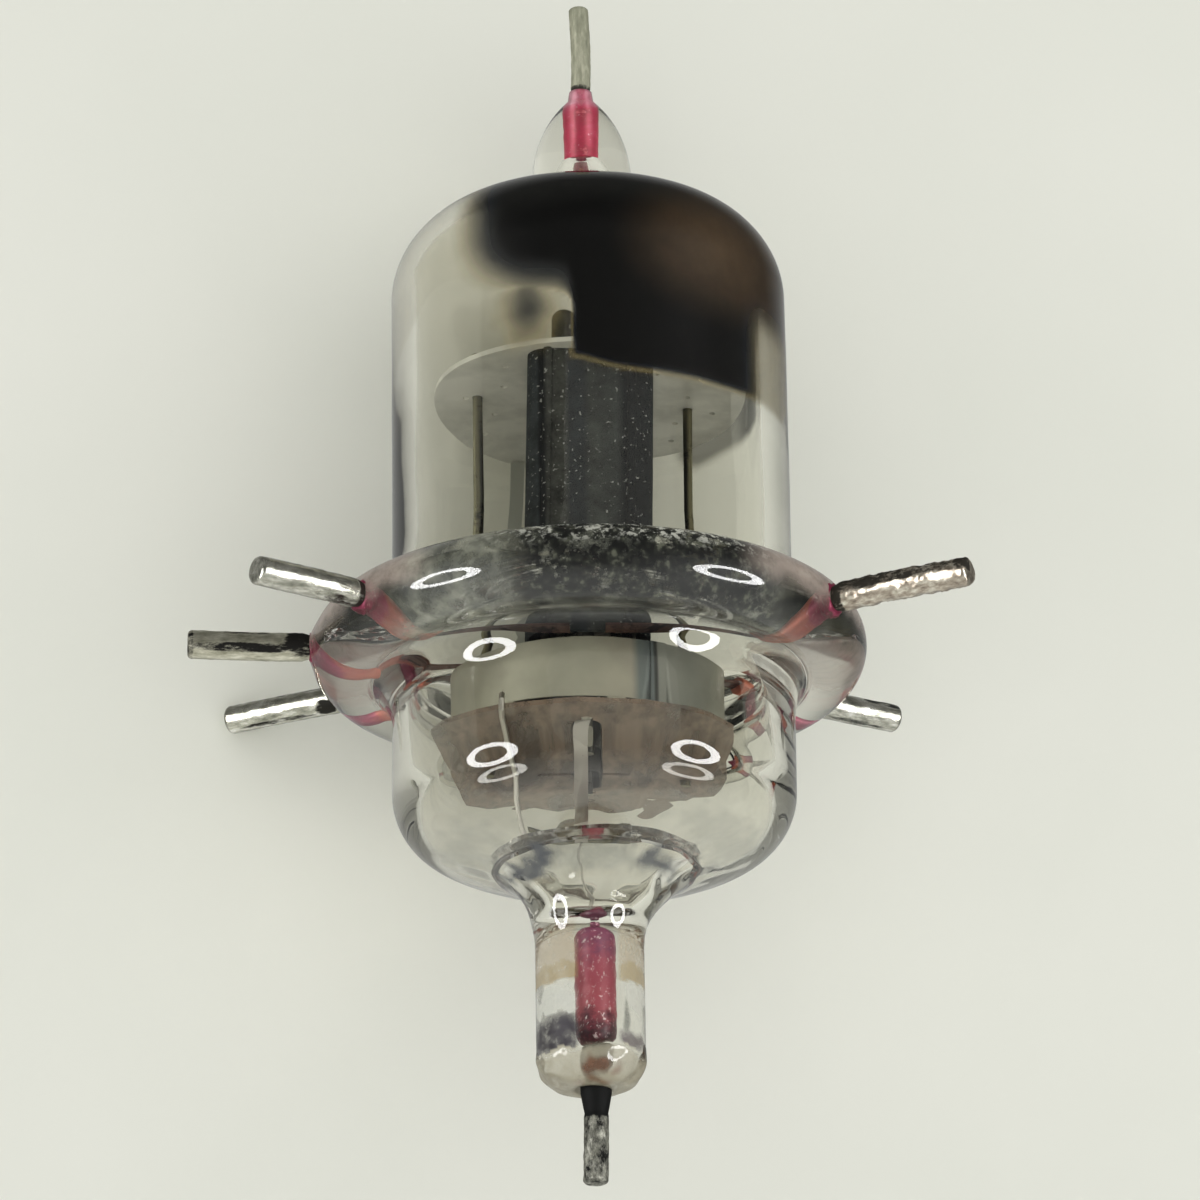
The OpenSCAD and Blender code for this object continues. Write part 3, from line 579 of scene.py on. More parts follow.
def glassStainAndShade(p):
    # smoke, melted flux and finger dirt on the glass, and painted shade down the stem's two edges: a colour,
    # and in its last channel how dense
    side, near = p.dot(sideAxis), p.dot(nearAxis)
    colour, dense = linearColour("#d9cfae"), 0.0
    if abs(p.z) < 1.7 and math.hypot(p.x, p.y) > 7.3:  # pinkish haze over the seals at the bead's ends
        ends = smooth(abs(side), 5.0, 6.8) * smooth(p.z + 0.3 * rough(p, 1.0, 23), -0.5, 0.3)
        colour, dense = linearColour("#cbb9ae"), 0.6 * ends * smooth(near, -4.5, -1.5)
    if p.z < -7.2:
        for code, strength, middle, size, ragged in stainsAndShade:
            away = math.hypot((side - middle[0]) / size[0], (p.z - middle[1]) / size[1])
            away += ragged * rough(p, 0.55, middle[0])
            amount = strength * (1 - smooth(away, 0.45, 1.25)) * smooth(near, -0.4, 0.3)
            if -12.6 < middle[1] < -11:  # the flux ran down to a sharp edge
                amount *= 1 - smooth(-p.z + 0.12 * rough(p, 0.5, 9), 12.6, 12.76)
            if middle[1] < -11:  # it lies behind the seal
                amount *= smooth(abs(side - 0.15), 0.6, 0.85)
            if amount > dense:
                colour, dense = linearColour(code), amount
        milky = smooth(-p.z + 0.25 * rough(p, 0.75, 21), 15.02, 15.3)
        if milky > 0:
            away = math.hypot((side - 0.1) / 0.8, (p.z + 15.8) / 0.45) + 0.7 * rough(p, 0.4, 8)
            burnt = 1 - smooth(away, 0.1, 1.0)
            pale, brown = linearColour("#b0a993"), linearColour("#7d5233")
            mixed = [a + (b - a) * burnt for a, b in zip(pale, brown)]
            veil = 0.8 + 0.2 * rough(p, 0.9, 14)
            colour, dense = mixed, max(dense * (1 - milky), veil * milky, 0.8 * burnt * milky)
    return (*colour[:3], dense)


def stemEndLumps(p):
    # the stem's end was melted shut and pulled off: lumpy
    low = smooth(-p.z, 14.4, 15.6)
    out = Vector((p.x, p.y, 0))
    if low == 0 or out.length < 0.1:
        return p
    return p + out.normalized() * low * glass["stemLump"] * rough(p, 0.6, 31) * smooth(out.length, 0.5, 1.2)


glassDirtAndShade = {  # the layers on the clear glass, lowest first; each is named for the mark on the points
    "bloom": {
        "grain": {"Scale": 1.4, "Detail": 6, "Roughness": 0.7},  # per mm
        "cover": {"From Min": 0.12, "From Max": 0.55, "To Max": 0.85},
        "cloud": {"Scale": 1.1, "Detail": 6},
        "stops": [(0.35, "#4b4e45"), (0.52, "#77796c"), (0.68, "#a3a494")],
        "skin": {"Roughness": 0.55, "Coat Weight": 1.0, "Coat Roughness": 0.02},
    },
    "crust": {
        "grain": {"Scale": 1.3, "Detail": 6, "Roughness": 0.7},
        "cover": {"From Min": 0.37, "From Max": 0.47, "To Max": 0.97},
        "cloud": {"Scale": 3.0, "Detail": 5},
        "stops": [(0.45, "#0b0c0a"), (0.58, "#24261f"), (0.70, "#5c5e50")],
        "skin": {"Roughness": 0.5, "Specular IOR Level": 0.25, "Coat Weight": 1.0, "Coat Roughness": 0.02},
    },
    "fuzz": {
        "grain": {"Scale": 3.4, "Detail": 6, "Roughness": 0.7},
        "cover": {"From Min": 0.52, "From Max": 0.58, "To Max": 0.85},
        "skin": {"Base Color": linearColour("#c4c4ba"), "Roughness": 0.8},
    },
    # the paint layer carries the stains and the painted shade on the stem's edges
    "paint": {
        "grain": {"Scale": 2.2, "Detail": 7, "Roughness": 0.7},
        "cover": {"From Min": 0.34, "From Max": 0.54, "To Min": 0.72},
        "skin": {"Roughness": 0.55, "Coat Weight": 0.35, "Coat Roughness": 0.05},
    },
}


def blownGlass(tree, place, look):
    # soft glass, blown and flame sealed: clear, a trace of yellow-grey, sharp ring reflections
    clear = addNode(
        tree,
        "BsdfPrincipled",
        {"Base Color": linearColour("#fffef8"), "Roughness": 0.0, "IOR": 1.5, "Transmission Weight": 1.0},
    )
    # a lamp's light passes clear glass almost unbent, so its shadow on the paper stays pale
    passing = addNode(tree, "BsdfTransparent", {"Color": linearColour("#fffffb")})
    shadow = addNode(tree, "LightPath").outputs["Is Shadow Ray"]
    skin = addNode(tree, "MixShader", links={0: shadow, 1: clear, 2: passing})
    for mark, layerLook in look.items():
        point = addNode(tree, "Attribute", {"attribute_name": mark}).outputs
        grain = addNode(tree, "TexNoise", layerLook["grain"], {"Vector": place})
        cover = addNode(tree, "MapRange", layerLook["cover"], {"Value": grain})
        dense = point["Alpha"] if mark == "paint" else point["Fac"]
        share = addNode(tree, "Math", {"operation": "MULTIPLY"}, {0: cover, 1: dense})
        tone = {"Base Color": point["Color"]} if mark == "paint" else {}
        if "cloud" in layerLook:
            cloud = addNode(tree, "TexNoise", layerLook["cloud"], {"Vector": place})
            ramp = addNode(tree, "ValToRGB", {"stops": layerLook["stops"]}, {0: cloud})
            tone = {"Base Color": ramp}
        over = addNode(tree, "BsdfPrincipled", layerLook["skin"], tone)
        skin = addNode(tree, "MixShader", links={0: share, 1: skin, 2: over})
    return skin


def outerPoint(radius, bearing, height):
    return stemEndLumps(pinBulge(glassPoint(radius, bearing, height, False)))


def innerPoint(radius, bearing, height):
    return glassPoint(radius, bearing, height, True)


points, faces = [], []
outerMark = {"bloom": bloom, "crust": crust, "fuzz": fuzz}
innerMark = {mark: (lambda p: 0.0) for mark in outerMark}
marks = {mark: [] for mark in outerMark}
spin(outerProfile(), glass["sectors"], outerPoint, points, faces, marks, outerMark)
stainedAndShaded = [glassStainAndShade(p) for p in points]
outerFaces = len(faces)
spin(cavityProfile(), glass["sectors"], innerPoint, points, faces, marks, innerMark)
faces = faces[:outerFaces] + [f[::-1] for f in faces[outerFaces:]]  # normals point out of the glass
stainedAndShaded += [(0.5, 0.5, 0.5, 0.0)] * (len(points) - len(stainedAndShaded))  # no dirt inside
dirtyAndShadedGlass = tubeMaterial("blownGlass", blownGlass, glassDirtAndShade)
halves = ("upper_bulb", "lower_bulb")
addMesh("glassEnvelope", points, faces, dirtyAndShadedGlass, halves, marks, stainedAndShaded)
print("glass blown:", len(points), "points")

# Getter film
film = {
    "depth": 0.015,  # mm that the film lies inside the skin of the glass
    "lowest": 7.3,
    "sectors": 340,
    "hook": (-3.75, 11.75, 2.0),  # left edge, lower edge, corner round of the hooked lobe
    "main": (-0.36, 8.2),  # left and lower edge of the film on the near side
    "far": 8.85,  # lower edge on the far side
    "fringe": 1.3,  # mm, the softest edge
    "crisp": 0.08,  # mm, the sharpest
    "spot": (-1.85, 10.55),
    "brown": (4.5, 13.3, 3.0, 2.5),  # side, height, half width and half height of the thin, brown patch
    "brownTone": "#4a3b2b",
    "tones": [(0.0, "#8a7c50"), (0.35, "#665a3a"), (0.6, "#322e22"), (0.82, "#0f1218"), (1.0, "#040404")],
    "cover": [(0.0, 0.0), (0.2, 0.24), (0.5, 0.64), (0.8, 0.94), (1.0, 1.0)],
    "veil": (0.07, 8.3, 11.5),  # the breath of metal on the rest of the dome: density, from and to height
}


def rounded(x, z, left, low, corner):
    # signed distance to a region right of left and above low, with a rounded corner
    dx, dz = left + corner - x, low + corner - z
    return min(max(dx, dz), 0.0) + math.hypot(max(dx, 0.0), max(dz, 0.0)) - corner


def melted(a, b, width):
    # the nearer of two distances, run together where they meet
    h = max(width - abs(a - b), 0.0) / width
    return min(a, b) - h * h * width / 4


def filmDensity(p):
    side, near = p.dot(sideAxis), p.dot(nearAxis)
    wavy = rough(p, 2.2, 11)
    hookLeft, hookLow, corner = film["hook"]
    left = hookLeft + 1.9 * smooth(-near, -5.2, -0.5) + 5.3 * smooth(-near, 0.0, 5.0) + 0.12 * wavy
    if near > 0:
        mainLeft, mainLow = film["main"]
        mainLow += 0.45 * math.exp(-((side - mainLeft) ** 2)) + 0.1 * wavy
        mainLow += (film["far"] - mainLow) * (1 - smooth(near, 0.0, 1.2))
        hook = rounded(side, p.z, left, hookLow - 0.12 * (side + 4) + 0.15 * wavy, corner)
        main = rounded(side, p.z, mainLeft + 0.05 * wavy, mainLow, 0.12)
        distance = melted(hook, main, 0.9)
        soft = smooth(p.z, 10.7, 12.2) * (1 - smooth(side, -0.9, 0.2))
        soft = film["crisp"] + (film["fringe"] - film["crisp"]) * soft + 0.14 * (1 - smooth(p.z, 8.7, 9.4))
    else:
        distance = rounded(side, p.z, left, film["far"] + 0.15 * wavy, 1.0)
        soft = 0.3
    dense = 1 - smooth(distance, -soft, soft)
    aside = math.degrees(math.atan2(side, near))
    dense *= 1 - 0.7 * smooth(aside, 52, 68) * (1 - smooth(p.z, 10.6, 12.8)) * (near > 0)
    return dense * (1 - 0.45 * (1 - smooth(p.z, 9.6, 12.0)) * smooth(-near, 1.0, 3.0))


def thinFilm(p):
    # where the film is thin enough to show brown
    side, near = p.dot(sideAxis), p.dot(nearAxis)
    x, z, wide, high = film["brown"]
    away = math.hypot((side - x) / wide, (p.z - z) / high)
    return (1 - smooth(away, 0.0, 1.25)) * smooth(near, -0.5, 1.5)


def spotDensity(p):
    # a blurred dark spot on the near glass beside the film
    side, near = p.dot(sideAxis), p.dot(nearAxis)
    x, z = film["spot"]
    away = math.hypot((side - x) / 1.0, (p.z - z) / 1.3) + 0.25 * rough(p, 0.8, 4)
    return 0.78 * (1 - smooth(away, 0.0, 1.5)) if near > 0 else 0.0


def gettered(tree, place, look):
    # flashed barium film on the inside of the glass: black mirror, brown where it thins out
    mark = addNode(tree, "Attribute", {"attribute_name": "film"}).outputs["Fac"]
    thin = addNode(tree, "Attribute", {"attribute_name": "thin"}).outputs["Fac"]
    tone = addNode(tree, "ValToRGB", {"stops": look["tones"]}, {0: mark})
    cover = addNode(tree, "ValToRGB", {"stops": [(at, grey(much)) for at, much in look["cover"]]}, {0: mark})
    cloud = addNode(tree, "TexNoise", {"Scale": 0.8, "Detail": 5, "Roughness": 0.6}, {"Vector": place})
    cloudShare = addNode(
        tree, "MapRange", {"From Min": 0.3, "From Max": 0.65, "To Min": 0.7}, {"Value": cloud}
    )
    brownShare = addNode(tree, "Math", {"operation": "MULTIPLY"}, {0: cloudShare, 1: thin})
    tone = addNode(
        tree, "Mix", {"data_type": "RGBA", 7: linearColour(look["brownTone"])}, {0: brownShare, 6: tone}
    )
    return addNode(
        tree,
        "BsdfPrincipled",
        {"Roughness": 0.35, "Specular IOR Level": 0.1},
        {"Base Color": tone.outputs[2], "Alpha": cover},
    )


def filmMesh():
    crown = glass["upper"][1] - glass["crownWall"]["upper"]
    line = innerLine("upper", math.degrees(math.acos(glass["tipCone"] / crown)))
    foot = line[0][1]
    fine = [(line[0][0], film["lowest"] + (foot - film["lowest"]) * i / 44) for i in range(44)]
    for a, b in zip(line, line[1:]):
        for i in range(3):
            fine.append((a[0] + (b[0] - a[0]) * i / 3, a[1] + (b[1] - a[1]) * i / 3))
    fine.append(line[-1])
    points, faces, marks = [], [], {"film": [], "thin": []}
    veil, low, high = film["veil"]

    def density(p):
        return max(filmDensity(p), spotDensity(p), veil * smooth(p.z, low, high))

    def onWall(r, b, z):
        p = innerPoint(r, b, z)
        return p + Vector((p.x, p.y, max(z - foot, 0) * 1.5)).normalized() * film["depth"]

    spin(fine, film["sectors"], onWall, points, faces, marks, {"film": density, "thin": thinFilm})
    used = [f for f in faces if max(marks["film"][i] for i in f) > 0.003]
    kept = sorted({i for f in used for i in f})
    order = {old: new for new, old in enumerate(kept)}
    return (
        [points[i] for i in kept],
        [tuple(order[i] for i in f) for f in used],
        {key: [values[i] for i in kept] for key, values in marks.items()},
    )


filmPoints, filmFaces, filmMarks = filmMesh()
flash = tubeMaterial("flashedBarium", gettered, film)
addMesh("getterFilm", filmPoints, filmFaces, flash, ("getter_film",), filmMarks)
print("getter film flashed")

# Metal and mica
def drawnNickel(tree, place, look):
    # drawn nickel wire or rolled strip: satin grey, fine scratches, brown to black tarnish in patches
    patch = addNode(
        tree, "TexNoise", {"Scale": 1 / look["patch"], "Detail": 6, "Roughness": 0.65}, {"Vector": place}
    )
    low = 0.72 - 0.45 * look["tarnish"]
    share = addNode(tree, "MapRange", {"From Min": low, "From Max": low + 0.12}, {"Value": patch})
    tone = addNode(
        tree,
        "Mix",
        {"data_type": "RGBA", 6: linearColour(look["bright"]), 7: linearColour(look["dark"])},
        {0: share},
    )
    dull = {"To Min": look["roughness"], "To Max": min(look["roughness"] + 0.3, 1.0)}
    shine = addNode(tree, "MapRange", dull, {"Value": share})
    scratch = addNode(
        tree, "TexNoise", {"Scale": 1 / look["grain"], "Detail": 4, "Roughness": 0.7}, {"Vector": place}
    )
    bump = addNode(tree, "Bump", {"Strength": look["bump"], "Distance": 0.00005}, {"Height": scratch})
    return addNode(
        tree,
        "BsdfPrincipled",
        {"Metallic": look["metallic"]},
        {"Base Color": tone.outputs[2], "Roughness": shine, "Normal": bump},
    )


strip = {  # patch and grain are mm across, tarnish is the share that is dark
    "heatBrownedNickelRibbon": {
        "nodes": ("heater_strap_a", "cathode_strap", "heater_strap_b", "screen_strap", "suppressor_strap"),
        "bright": "#6b514a", "dark": "#2c2022", "tarnish": 0.5, "metallic": 1.0,
        "patch": 0.9, "grain": 0.08, "bump": 0.2, "roughness": 0.38,
    },
    "rolledNickelStrip": {
        "nodes": ("anode_strap", "mount_wire", "plate_lead"),
        "bright": "#c9c6bf", "dark": "#6f6a62", "tarnish": 0.25, "metallic": 1.0,
        "patch": 0.6, "grain": 0.06, "bump": 0.15, "roughness": 0.28,
    },
    "heatOlivedNickelRod": {
        "nodes": ("left_support_rod", "right_support_rod", "plate_bar"),
        "bright": "#75715a", "dark": "#2f2d22", "tarnish": 0.4, "metallic": 1.0,
        "patch": 0.7, "grain": 0.06, "bump": 0.15, "roughness": 0.35,
    },
    "rolledGreyStay": {
        "nodes": ("rear_stay", "getter_carrier"),
        "bright": "#b4b6ad", "dark": "#74766e", "tarnish": 0.3, "metallic": 0.5,
        "patch": 0.8, "grain": 0.08, "bump": 0.15, "roughness": 0.4,
    },
    "drawnGridWire": {
        "nodes": ("suppressor_grid", "screen_grid", "control_grid"),
        "bright": "#b9b7ae", "dark": "#6d6a60", "tarnish": 0.3, "metallic": 1.0,
        "patch": 0.5, "grain": 0.05, "bump": 0.1, "roughness": 0.3,
    },
}
for name, look in strip.items():
    dress(tubeMaterial(name, drawnNickel, look), *look["nodes"])

wireShape = {
    "sides": 36,
    "step": 0.09,  # mm between rings
    "lump": 0.28,  # mm across
    "fineLump": 0.12,
    "fineShare": 0.6,
    "bendTurns": 1.3,  # half waves of the bend along the wire
}


def wire(name, way, rings, look, material, replaced):
    # a round or oval wire from the tube's axis outwards; rings are (along, half width, half depth)
    # depth runs along the tube's axis for a radial wire; its marks are tarnish and tint
    way = Vector(way).normalized()
    upright = abs(way.z) > 0.5
    deep = sideAxis.copy() if upright else Vector((0, 0, 1))
    wide = way.cross(deep).normalized()
    if wide.dot(nearAxis) < 0:
        wide = -wide
    points, faces = [], []
    marks = {"tarnish": [], "tint": []}
    count, seed = wireShape["sides"], look["seed"]
    start, end = rings[0][0], rings[-1][0]
    waves = math.pi * wireShape["bendTurns"]
    line = [(start, 0.0, 0.0)]
    for (a, wa, da), (b, wb, db) in zip(rings, rings[1:]):
        steps = max(1, round((b - a) / wireShape["step"]))
        shares = [i / steps for i in range(steps)]
        line += [(a + (b - a) * t, wa + (wb - wa) * t, da + (db - da) * t) for t in shares]
    line += [rings[-1], (end, 0.0, 0.0)]
    for along, halfWide, halfDeep in line:
        bend = look.get("bend", 0.0) * math.sin((along - start) / (end - start) * waves)
        middle = way * along + deep * bend
        for i in range(count):
            turn = 360 * i / count if 2 * i < count else 360 * i / count - 360
            t = 2 * math.pi * i / count
            out = wide * math.cos(t) * halfWide + deep * math.sin(t) * halfDeep
            lump = rough(middle + out, wireShape["lump"], seed)
            lump += wireShape["fineShare"] * rough(middle + out, wireShape["fineLump"], seed + 2)
            outward = out.normalized() if out.length > 0.01 else Vector((0, 0, 0))
            points.append(middle + out + outward * lump * look["lumps"](along, turn))
            for mark in marks:
                marks[mark].append(look[mark](along, turn) if mark in look else 0.0)
    for k in range(len(line) - 1):
        for i in range(count):
            j = (i + 1) % count
            faces.append((k * count + i, k * count + j, (k + 1) * count + j, (k + 1) * count + i))
    if way.cross(deep).dot(wide) < 0:
        faces = [f[::-1] for f in faces]
    return addMesh(name, points, faces, material, (replaced,), marks)


def roundRings(rings):
    return [(along, radius, radius) for along, radius in rings]


def pinNickel(tree, place, look):
    # nickel pin, solder dipped: greenish silver drawn out along the pin, black sulphide where marked
    drawnOut = {"vector_type": "TEXTURE", "Rotation": look["turn"], "Scale": (look["drawn"], 1.0, 1.0)}
    drawn = addNode(tree, "Mapping", drawnOut, {"Vector": place})
    streak = addNode(tree, "TexNoise", {"Scale": 5.0, "Detail": 5, "Roughness": 0.6}, {"Vector": drawn})
    stops = [(0.3, look["low"]), (0.5, look["main"]), (0.68, look["bright"])]
    tone = addNode(tree, "ValToRGB", {"stops": stops}, {0: streak})
    fleck = addNode(
        tree, "TexNoise", {"Scale": look["fleck"], "Detail": 7, "Roughness": 0.75}, {"Vector": drawn}
    )
    tarnish = addNode(tree, "Attribute", {"attribute_name": "tarnish"}).outputs["Fac"]
    black = addNode(tree, "Math", {"operation": "ADD"}, {0: tarnish, 1: fleck})
    share = addNode(tree, "MapRange", {"From Min": 0.78, "From Max": 0.98}, {"Value": black})
    tarnished = addNode(
        tree, "Mix", {"data_type": "RGBA", 7: linearColour(look["dark"])}, {0: share, 6: tone}
    )
    shine = addNode(tree, "MapRange", {"To Min": look["roughness"], "To Max": 0.7}, {"Value": share})
    dulled = addNode(tree, "MapRange", {"To Min": look["metallic"], "To Max": 0.1}, {"Value": share})
    bump = addNode(tree, "Bump", {"Strength": 0.35, "Distance": 0.00003}, {"Height": fleck})
    links = {"Base Color": tarnished.outputs[2], "Metallic": dulled, "Roughness": shine, "Normal": bump}
    return addNode(tree, "BsdfPrincipled", {"Specular IOR Level": 0.2}, links)


def sealCopper(tree, place, look):
    # copper-clad wire, borated and sealed in: crimson oxide under the glass, salmon where it is bare; on the
    # grid seal the tint mark also paints shade across the wire
    cloud = addNode(
        tree, "TexNoise", {"Scale": 1 / look["fleck"], "Detail": 6, "Roughness": 0.7}, {"Vector": place}
    )
    drifting = {"From Min": 0.3, "From Max": 0.7, "To Min": -0.18, "To Max": 0.18}
    drift = addNode(tree, "MapRange", drifting, {"Value": cloud})
    mark = addNode(tree, "Attribute", {"attribute_name": "tint"}).outputs["Fac"]
    tint = addNode(tree, "Math", {"operation": "ADD"}, {0: mark, 1: drift})
    tone = addNode(tree, "ValToRGB", {"stops": look["stops"]}, {0: tint})
    scratchWay = {"vector_type": "TEXTURE", "Rotation": (0.3, 0.2, 0), "Scale": (1, 1, 2.4)}
    scratched = addNode(tree, "Mapping", scratchWay, {"Vector": place})
    speck = addNode(tree, "TexNoise", {"Scale": 9.0, "Detail": 6, "Roughness": 0.75}, {"Vector": scratched})
    low = 0.68 - 0.12 * look["specks"]
    share = addNode(
        tree, "MapRange", {"From Min": low, "From Max": low + 0.06, "To Max": 0.8}, {"Value": speck}
    )
    skinTone = addNode(
        tree, "Mix", {"data_type": "RGBA", 7: linearColour(look["speck"])}, {0: share, 6: tone}
    )
    return addNode(
        tree,
        "BsdfPrincipled",
        {"Roughness": 0.42, "Metallic": look["metallic"]},
        {"Base Color": skinTone.outputs[2]},
    )


def patchOf(spots, along, turn):
    # the darkest of the tarnish spots at a place on a pin: (along, turn, half length, half turn, depth)
    dark = 0.0
    for middle, angle, reach, spread, depth in spots:
        away = math.hypot((along - middle) / reach, ((turn - angle + 180) % 360 - 180) / spread)
        dark = max(dark, depth * (1 - smooth(away, 0.6, 1.25)))
    return dark


pinShape = {
    "rings": [(9.3, 0.34), (9.92, 0.44), (10.17, 0.51)],  # mm: out from the axis, radius
    "round": 0.16,
    "sealRings": [  # the same, half width, half depth
        (9.15, 0.5, 0.36), (9.35, 0.56, 0.46), (9.6, 0.62, 0.58), (9.82, 0.58, 0.56), (9.9, 0.5, 0.5),
    ],
}
pins = {  # turn 0 faces the camera's side and 90 the nipple end; lengths in mm out from the axis
    "heater_pin_a": {
        "reach": 14.2, "bend": 0.03, "rough": 0.02,
        "spots": [(9.95, 0, 0.28, 1000, 0.56), (10.6, -75, 1.1, 40, 0.44), (11.9, 60, 2.2, 12, 0.42)],
        "low": "#86867a", "main": "#bfbeb1", "bright": "#e2e0d6", "dark": "#2d2420",
        "metallic": 0.85, "drawn": 3.0, "fleck": 3.4, "roughness": 0.27,
    },
    "cathode_pin": {
        "reach": 14.2, "bend": -0.02, "rough": 0.016,
        "spots": [
            (10.1, 5, 0.9, 85, 0.53), (12.3, -24, 2.6, 26, 0.49), (12.3, 46, 1.6, 8, 0.46),
            (14.15, 0, 0.2, 1000, 0.42),
        ],
        "low": "#8d8b78", "main": "#bfbca9", "bright": "#e4e1d0", "dark": "#14120f",
        "metallic": 0.8, "drawn": 3.0, "fleck": 3.4, "roughness": 0.3,
    },
    "heater_pin_b": {
        "reach": 14.6, "bend": 0.02, "rough": 0.012,
        "spots": [(10.45, -48, 0.5, 45, 0.56), (12.4, -70, 2.0, 16, 0.44), (12.2, 50, 2.4, 11, 0.42)],
        "low": "#7f8071", "main": "#c6c5b5", "bright": "#f0efe6", "dark": "#211f18",
        "metallic": 0.85, "drawn": 3.0, "fleck": 3.2, "roughness": 0.24,
    },
    "screen_pin": {
        "reach": 15.1, "bend": 0.05, "rough": 0.055,
        "spots": [
            (10.0, 0, 0.35, 1000, 0.52), (11.1, 42, 1.7, 66, 0.50), (12.2, 8, 2.8, 12, 0.47),
            (13.3, 42, 1.8, 55, 0.46), (14.95, 40, 0.4, 60, 0.50),
        ],
        "low": "#7c6f63", "main": "#b9ae9e", "bright": "#e9e4d4", "dark": "#2f2b24",
        "metallic": 0.8, "drawn": 2.0, "fleck": 3.0, "roughness": 0.28,
    },
    "suppressor_pin": {
        "reach": 13.4, "bend": -0.02, "rough": 0.014,
        "spots": [(12.7, 50, 1.2, 36, 0.50), (11.5, -75, 1.6, 18, 0.43)],
        "low": "#84857a", "main": "#c4c3b6", "bright": "#efeee6", "dark": "#2b2c2a",
        "metallic": 0.85, "drawn": 3.0, "fleck": 3.4, "roughness": 0.26,
    },
}
sealLook = {
    "radial": {
        "stops": [(0.0, "#c86c50"), (0.45, "#bd5b4c"), (0.68, "#a23452"), (1.0, "#8a2748")],
        "fleck": 0.5, "speck": "#e7b3ae", "specks": 0.55, "metallic": 0.25,
    },
    "grid": {
        "stops": [
            (0.0, "#cf806b"), (0.2, "#c9606a"), (0.3, "#8a0f2e"), (0.5, "#a6143e"), (0.75, "#b23a5c"),
            (1.0, "#bd7388"),
        ],
        "fleck": 0.5, "speck": "#e6c0ca", "specks": 0.35, "metallic": 0.1,
    },
    "plate": {
        "stops": [(0.0, "#35121d"), (0.1, "#5a1c2b"), (0.27, "#a04450"), (0.75, "#a4485a"), (1.0, "#7d3c58")],
        "fleck": 0.6, "speck": "#ead5d5", "specks": 0.85, "metallic": 0.05,
    },
    "lead": {
        "stops": [(0.0, "#b8614c"), (0.5, "#cf806b"), (1.0, "#dca08c")],
        "fleck": 0.5, "speck": "#f0cdbf", "specks": 0.5, "metallic": 0.4,
    },
}


def roundedTip(end, radius, corner):
    steps = [math.radians(90 * i / 6) for i in range(7)]
    return [(end - corner + corner * math.sin(t), radius - corner + corner * math.cos(t)) for t in steps]


radialSeal = tubeMaterial("boratedCopperWire", sealCopper, sealLook["radial"])
for seed, (pin, look) in enumerate(pins.items()):
    bearing = radialBearings[pin]
    tip = roundedTip(look["reach"], pinShape["rings"][-1][1], pinShape["round"])
    wire(
        pin + "Wire",
        polar(1, bearing),
        roundRings(pinShape["rings"] + tip),
        {
            "seed": seed,
            "bend": look["bend"],
            "lumps": lambda along, turn, n=look["rough"]: n * smooth(along, 9.9, 10.3),
            "tarnish": lambda along, turn, spots=look["spots"]: patchOf(spots, along, turn),
        },
        tubeMaterial(pin + "Nickel", pinNickel, {**look, "turn": (0, 0, math.radians(bearing))}),
        pin,
    )
    seal = pin.replace("_pin", "_seal")
    wire(
        seal + "Wire",
        polar(1, bearing),
        [(glass["bulb"] - glass["wall"] + 0.4, 0.5, 0.35)] + pinShape["sealRings"],
        {
            "seed": seed + 11,
            "lumps": lambda along, turn: 0.03
            + 0.09 * smooth(along, 9.1, 9.5) * (1 - smooth(along, 9.8, 9.9)),
            "tint": lambda along, turn: smooth(along, 7.8, 9.2),
        },
        radialSeal,
        seal,
    )

platePin = {  # mm along the axis, radius
    "rings": [
        (14.7, 0.33), (15.8, 0.38), (15.95, 0.55), (16.3, 0.54), (16.75, 0.46), (17.0, 0.41), (17.1, 0.43),
    ],
    "tip": (19.5, 0.44, 0.14),
    "sealRings": [
        (10.2, 0.1), (10.4, 0.12), (10.46, 0.28), (10.6, 0.4), (10.8, 0.46), (11.0, 0.47),
        (14.2, 0.47), (14.45, 0.44), (14.6, 0.35), (14.66, 0.2),
    ],
    "nickel": {
        "turn": (0, math.radians(-90), 0),
        "low": "#6d6c62", "main": "#a3a296", "bright": "#cfcec2", "dark": "#060706",
        "metallic": 0.5, "drawn": 1.8, "fleck": 2.4, "roughness": 0.42,
    },
}
wire(
    "plate_pinWire",
    stemAxis,
    roundRings(platePin["rings"] + roundedTip(*platePin["tip"])),
    {
        "seed": 21,
        "bend": 0.03,
        "lumps": lambda along, turn: 0.022 * smooth(along, 16.9, 17.3),
        "tarnish": lambda along, turn: 0.7 * (1 - smooth(along, 16.9, 17.25)) + 0.38,
    },
    tubeMaterial("plateNickel", pinNickel, platePin["nickel"]),
    "plate_pin",
)
wire(
    "plate_sealWire",
    stemAxis,
    roundRings(platePin["sealRings"]),
    {
        "seed": 24,
        "lumps": lambda along, turn: 0.02,
        "tint": lambda along, turn: smooth(14.75 - along, -0.3, 4.4),
    },
    tubeMaterial("fleckedSealedCopper", sealCopper, sealLook["plate"]),
    "plate_seal",
)

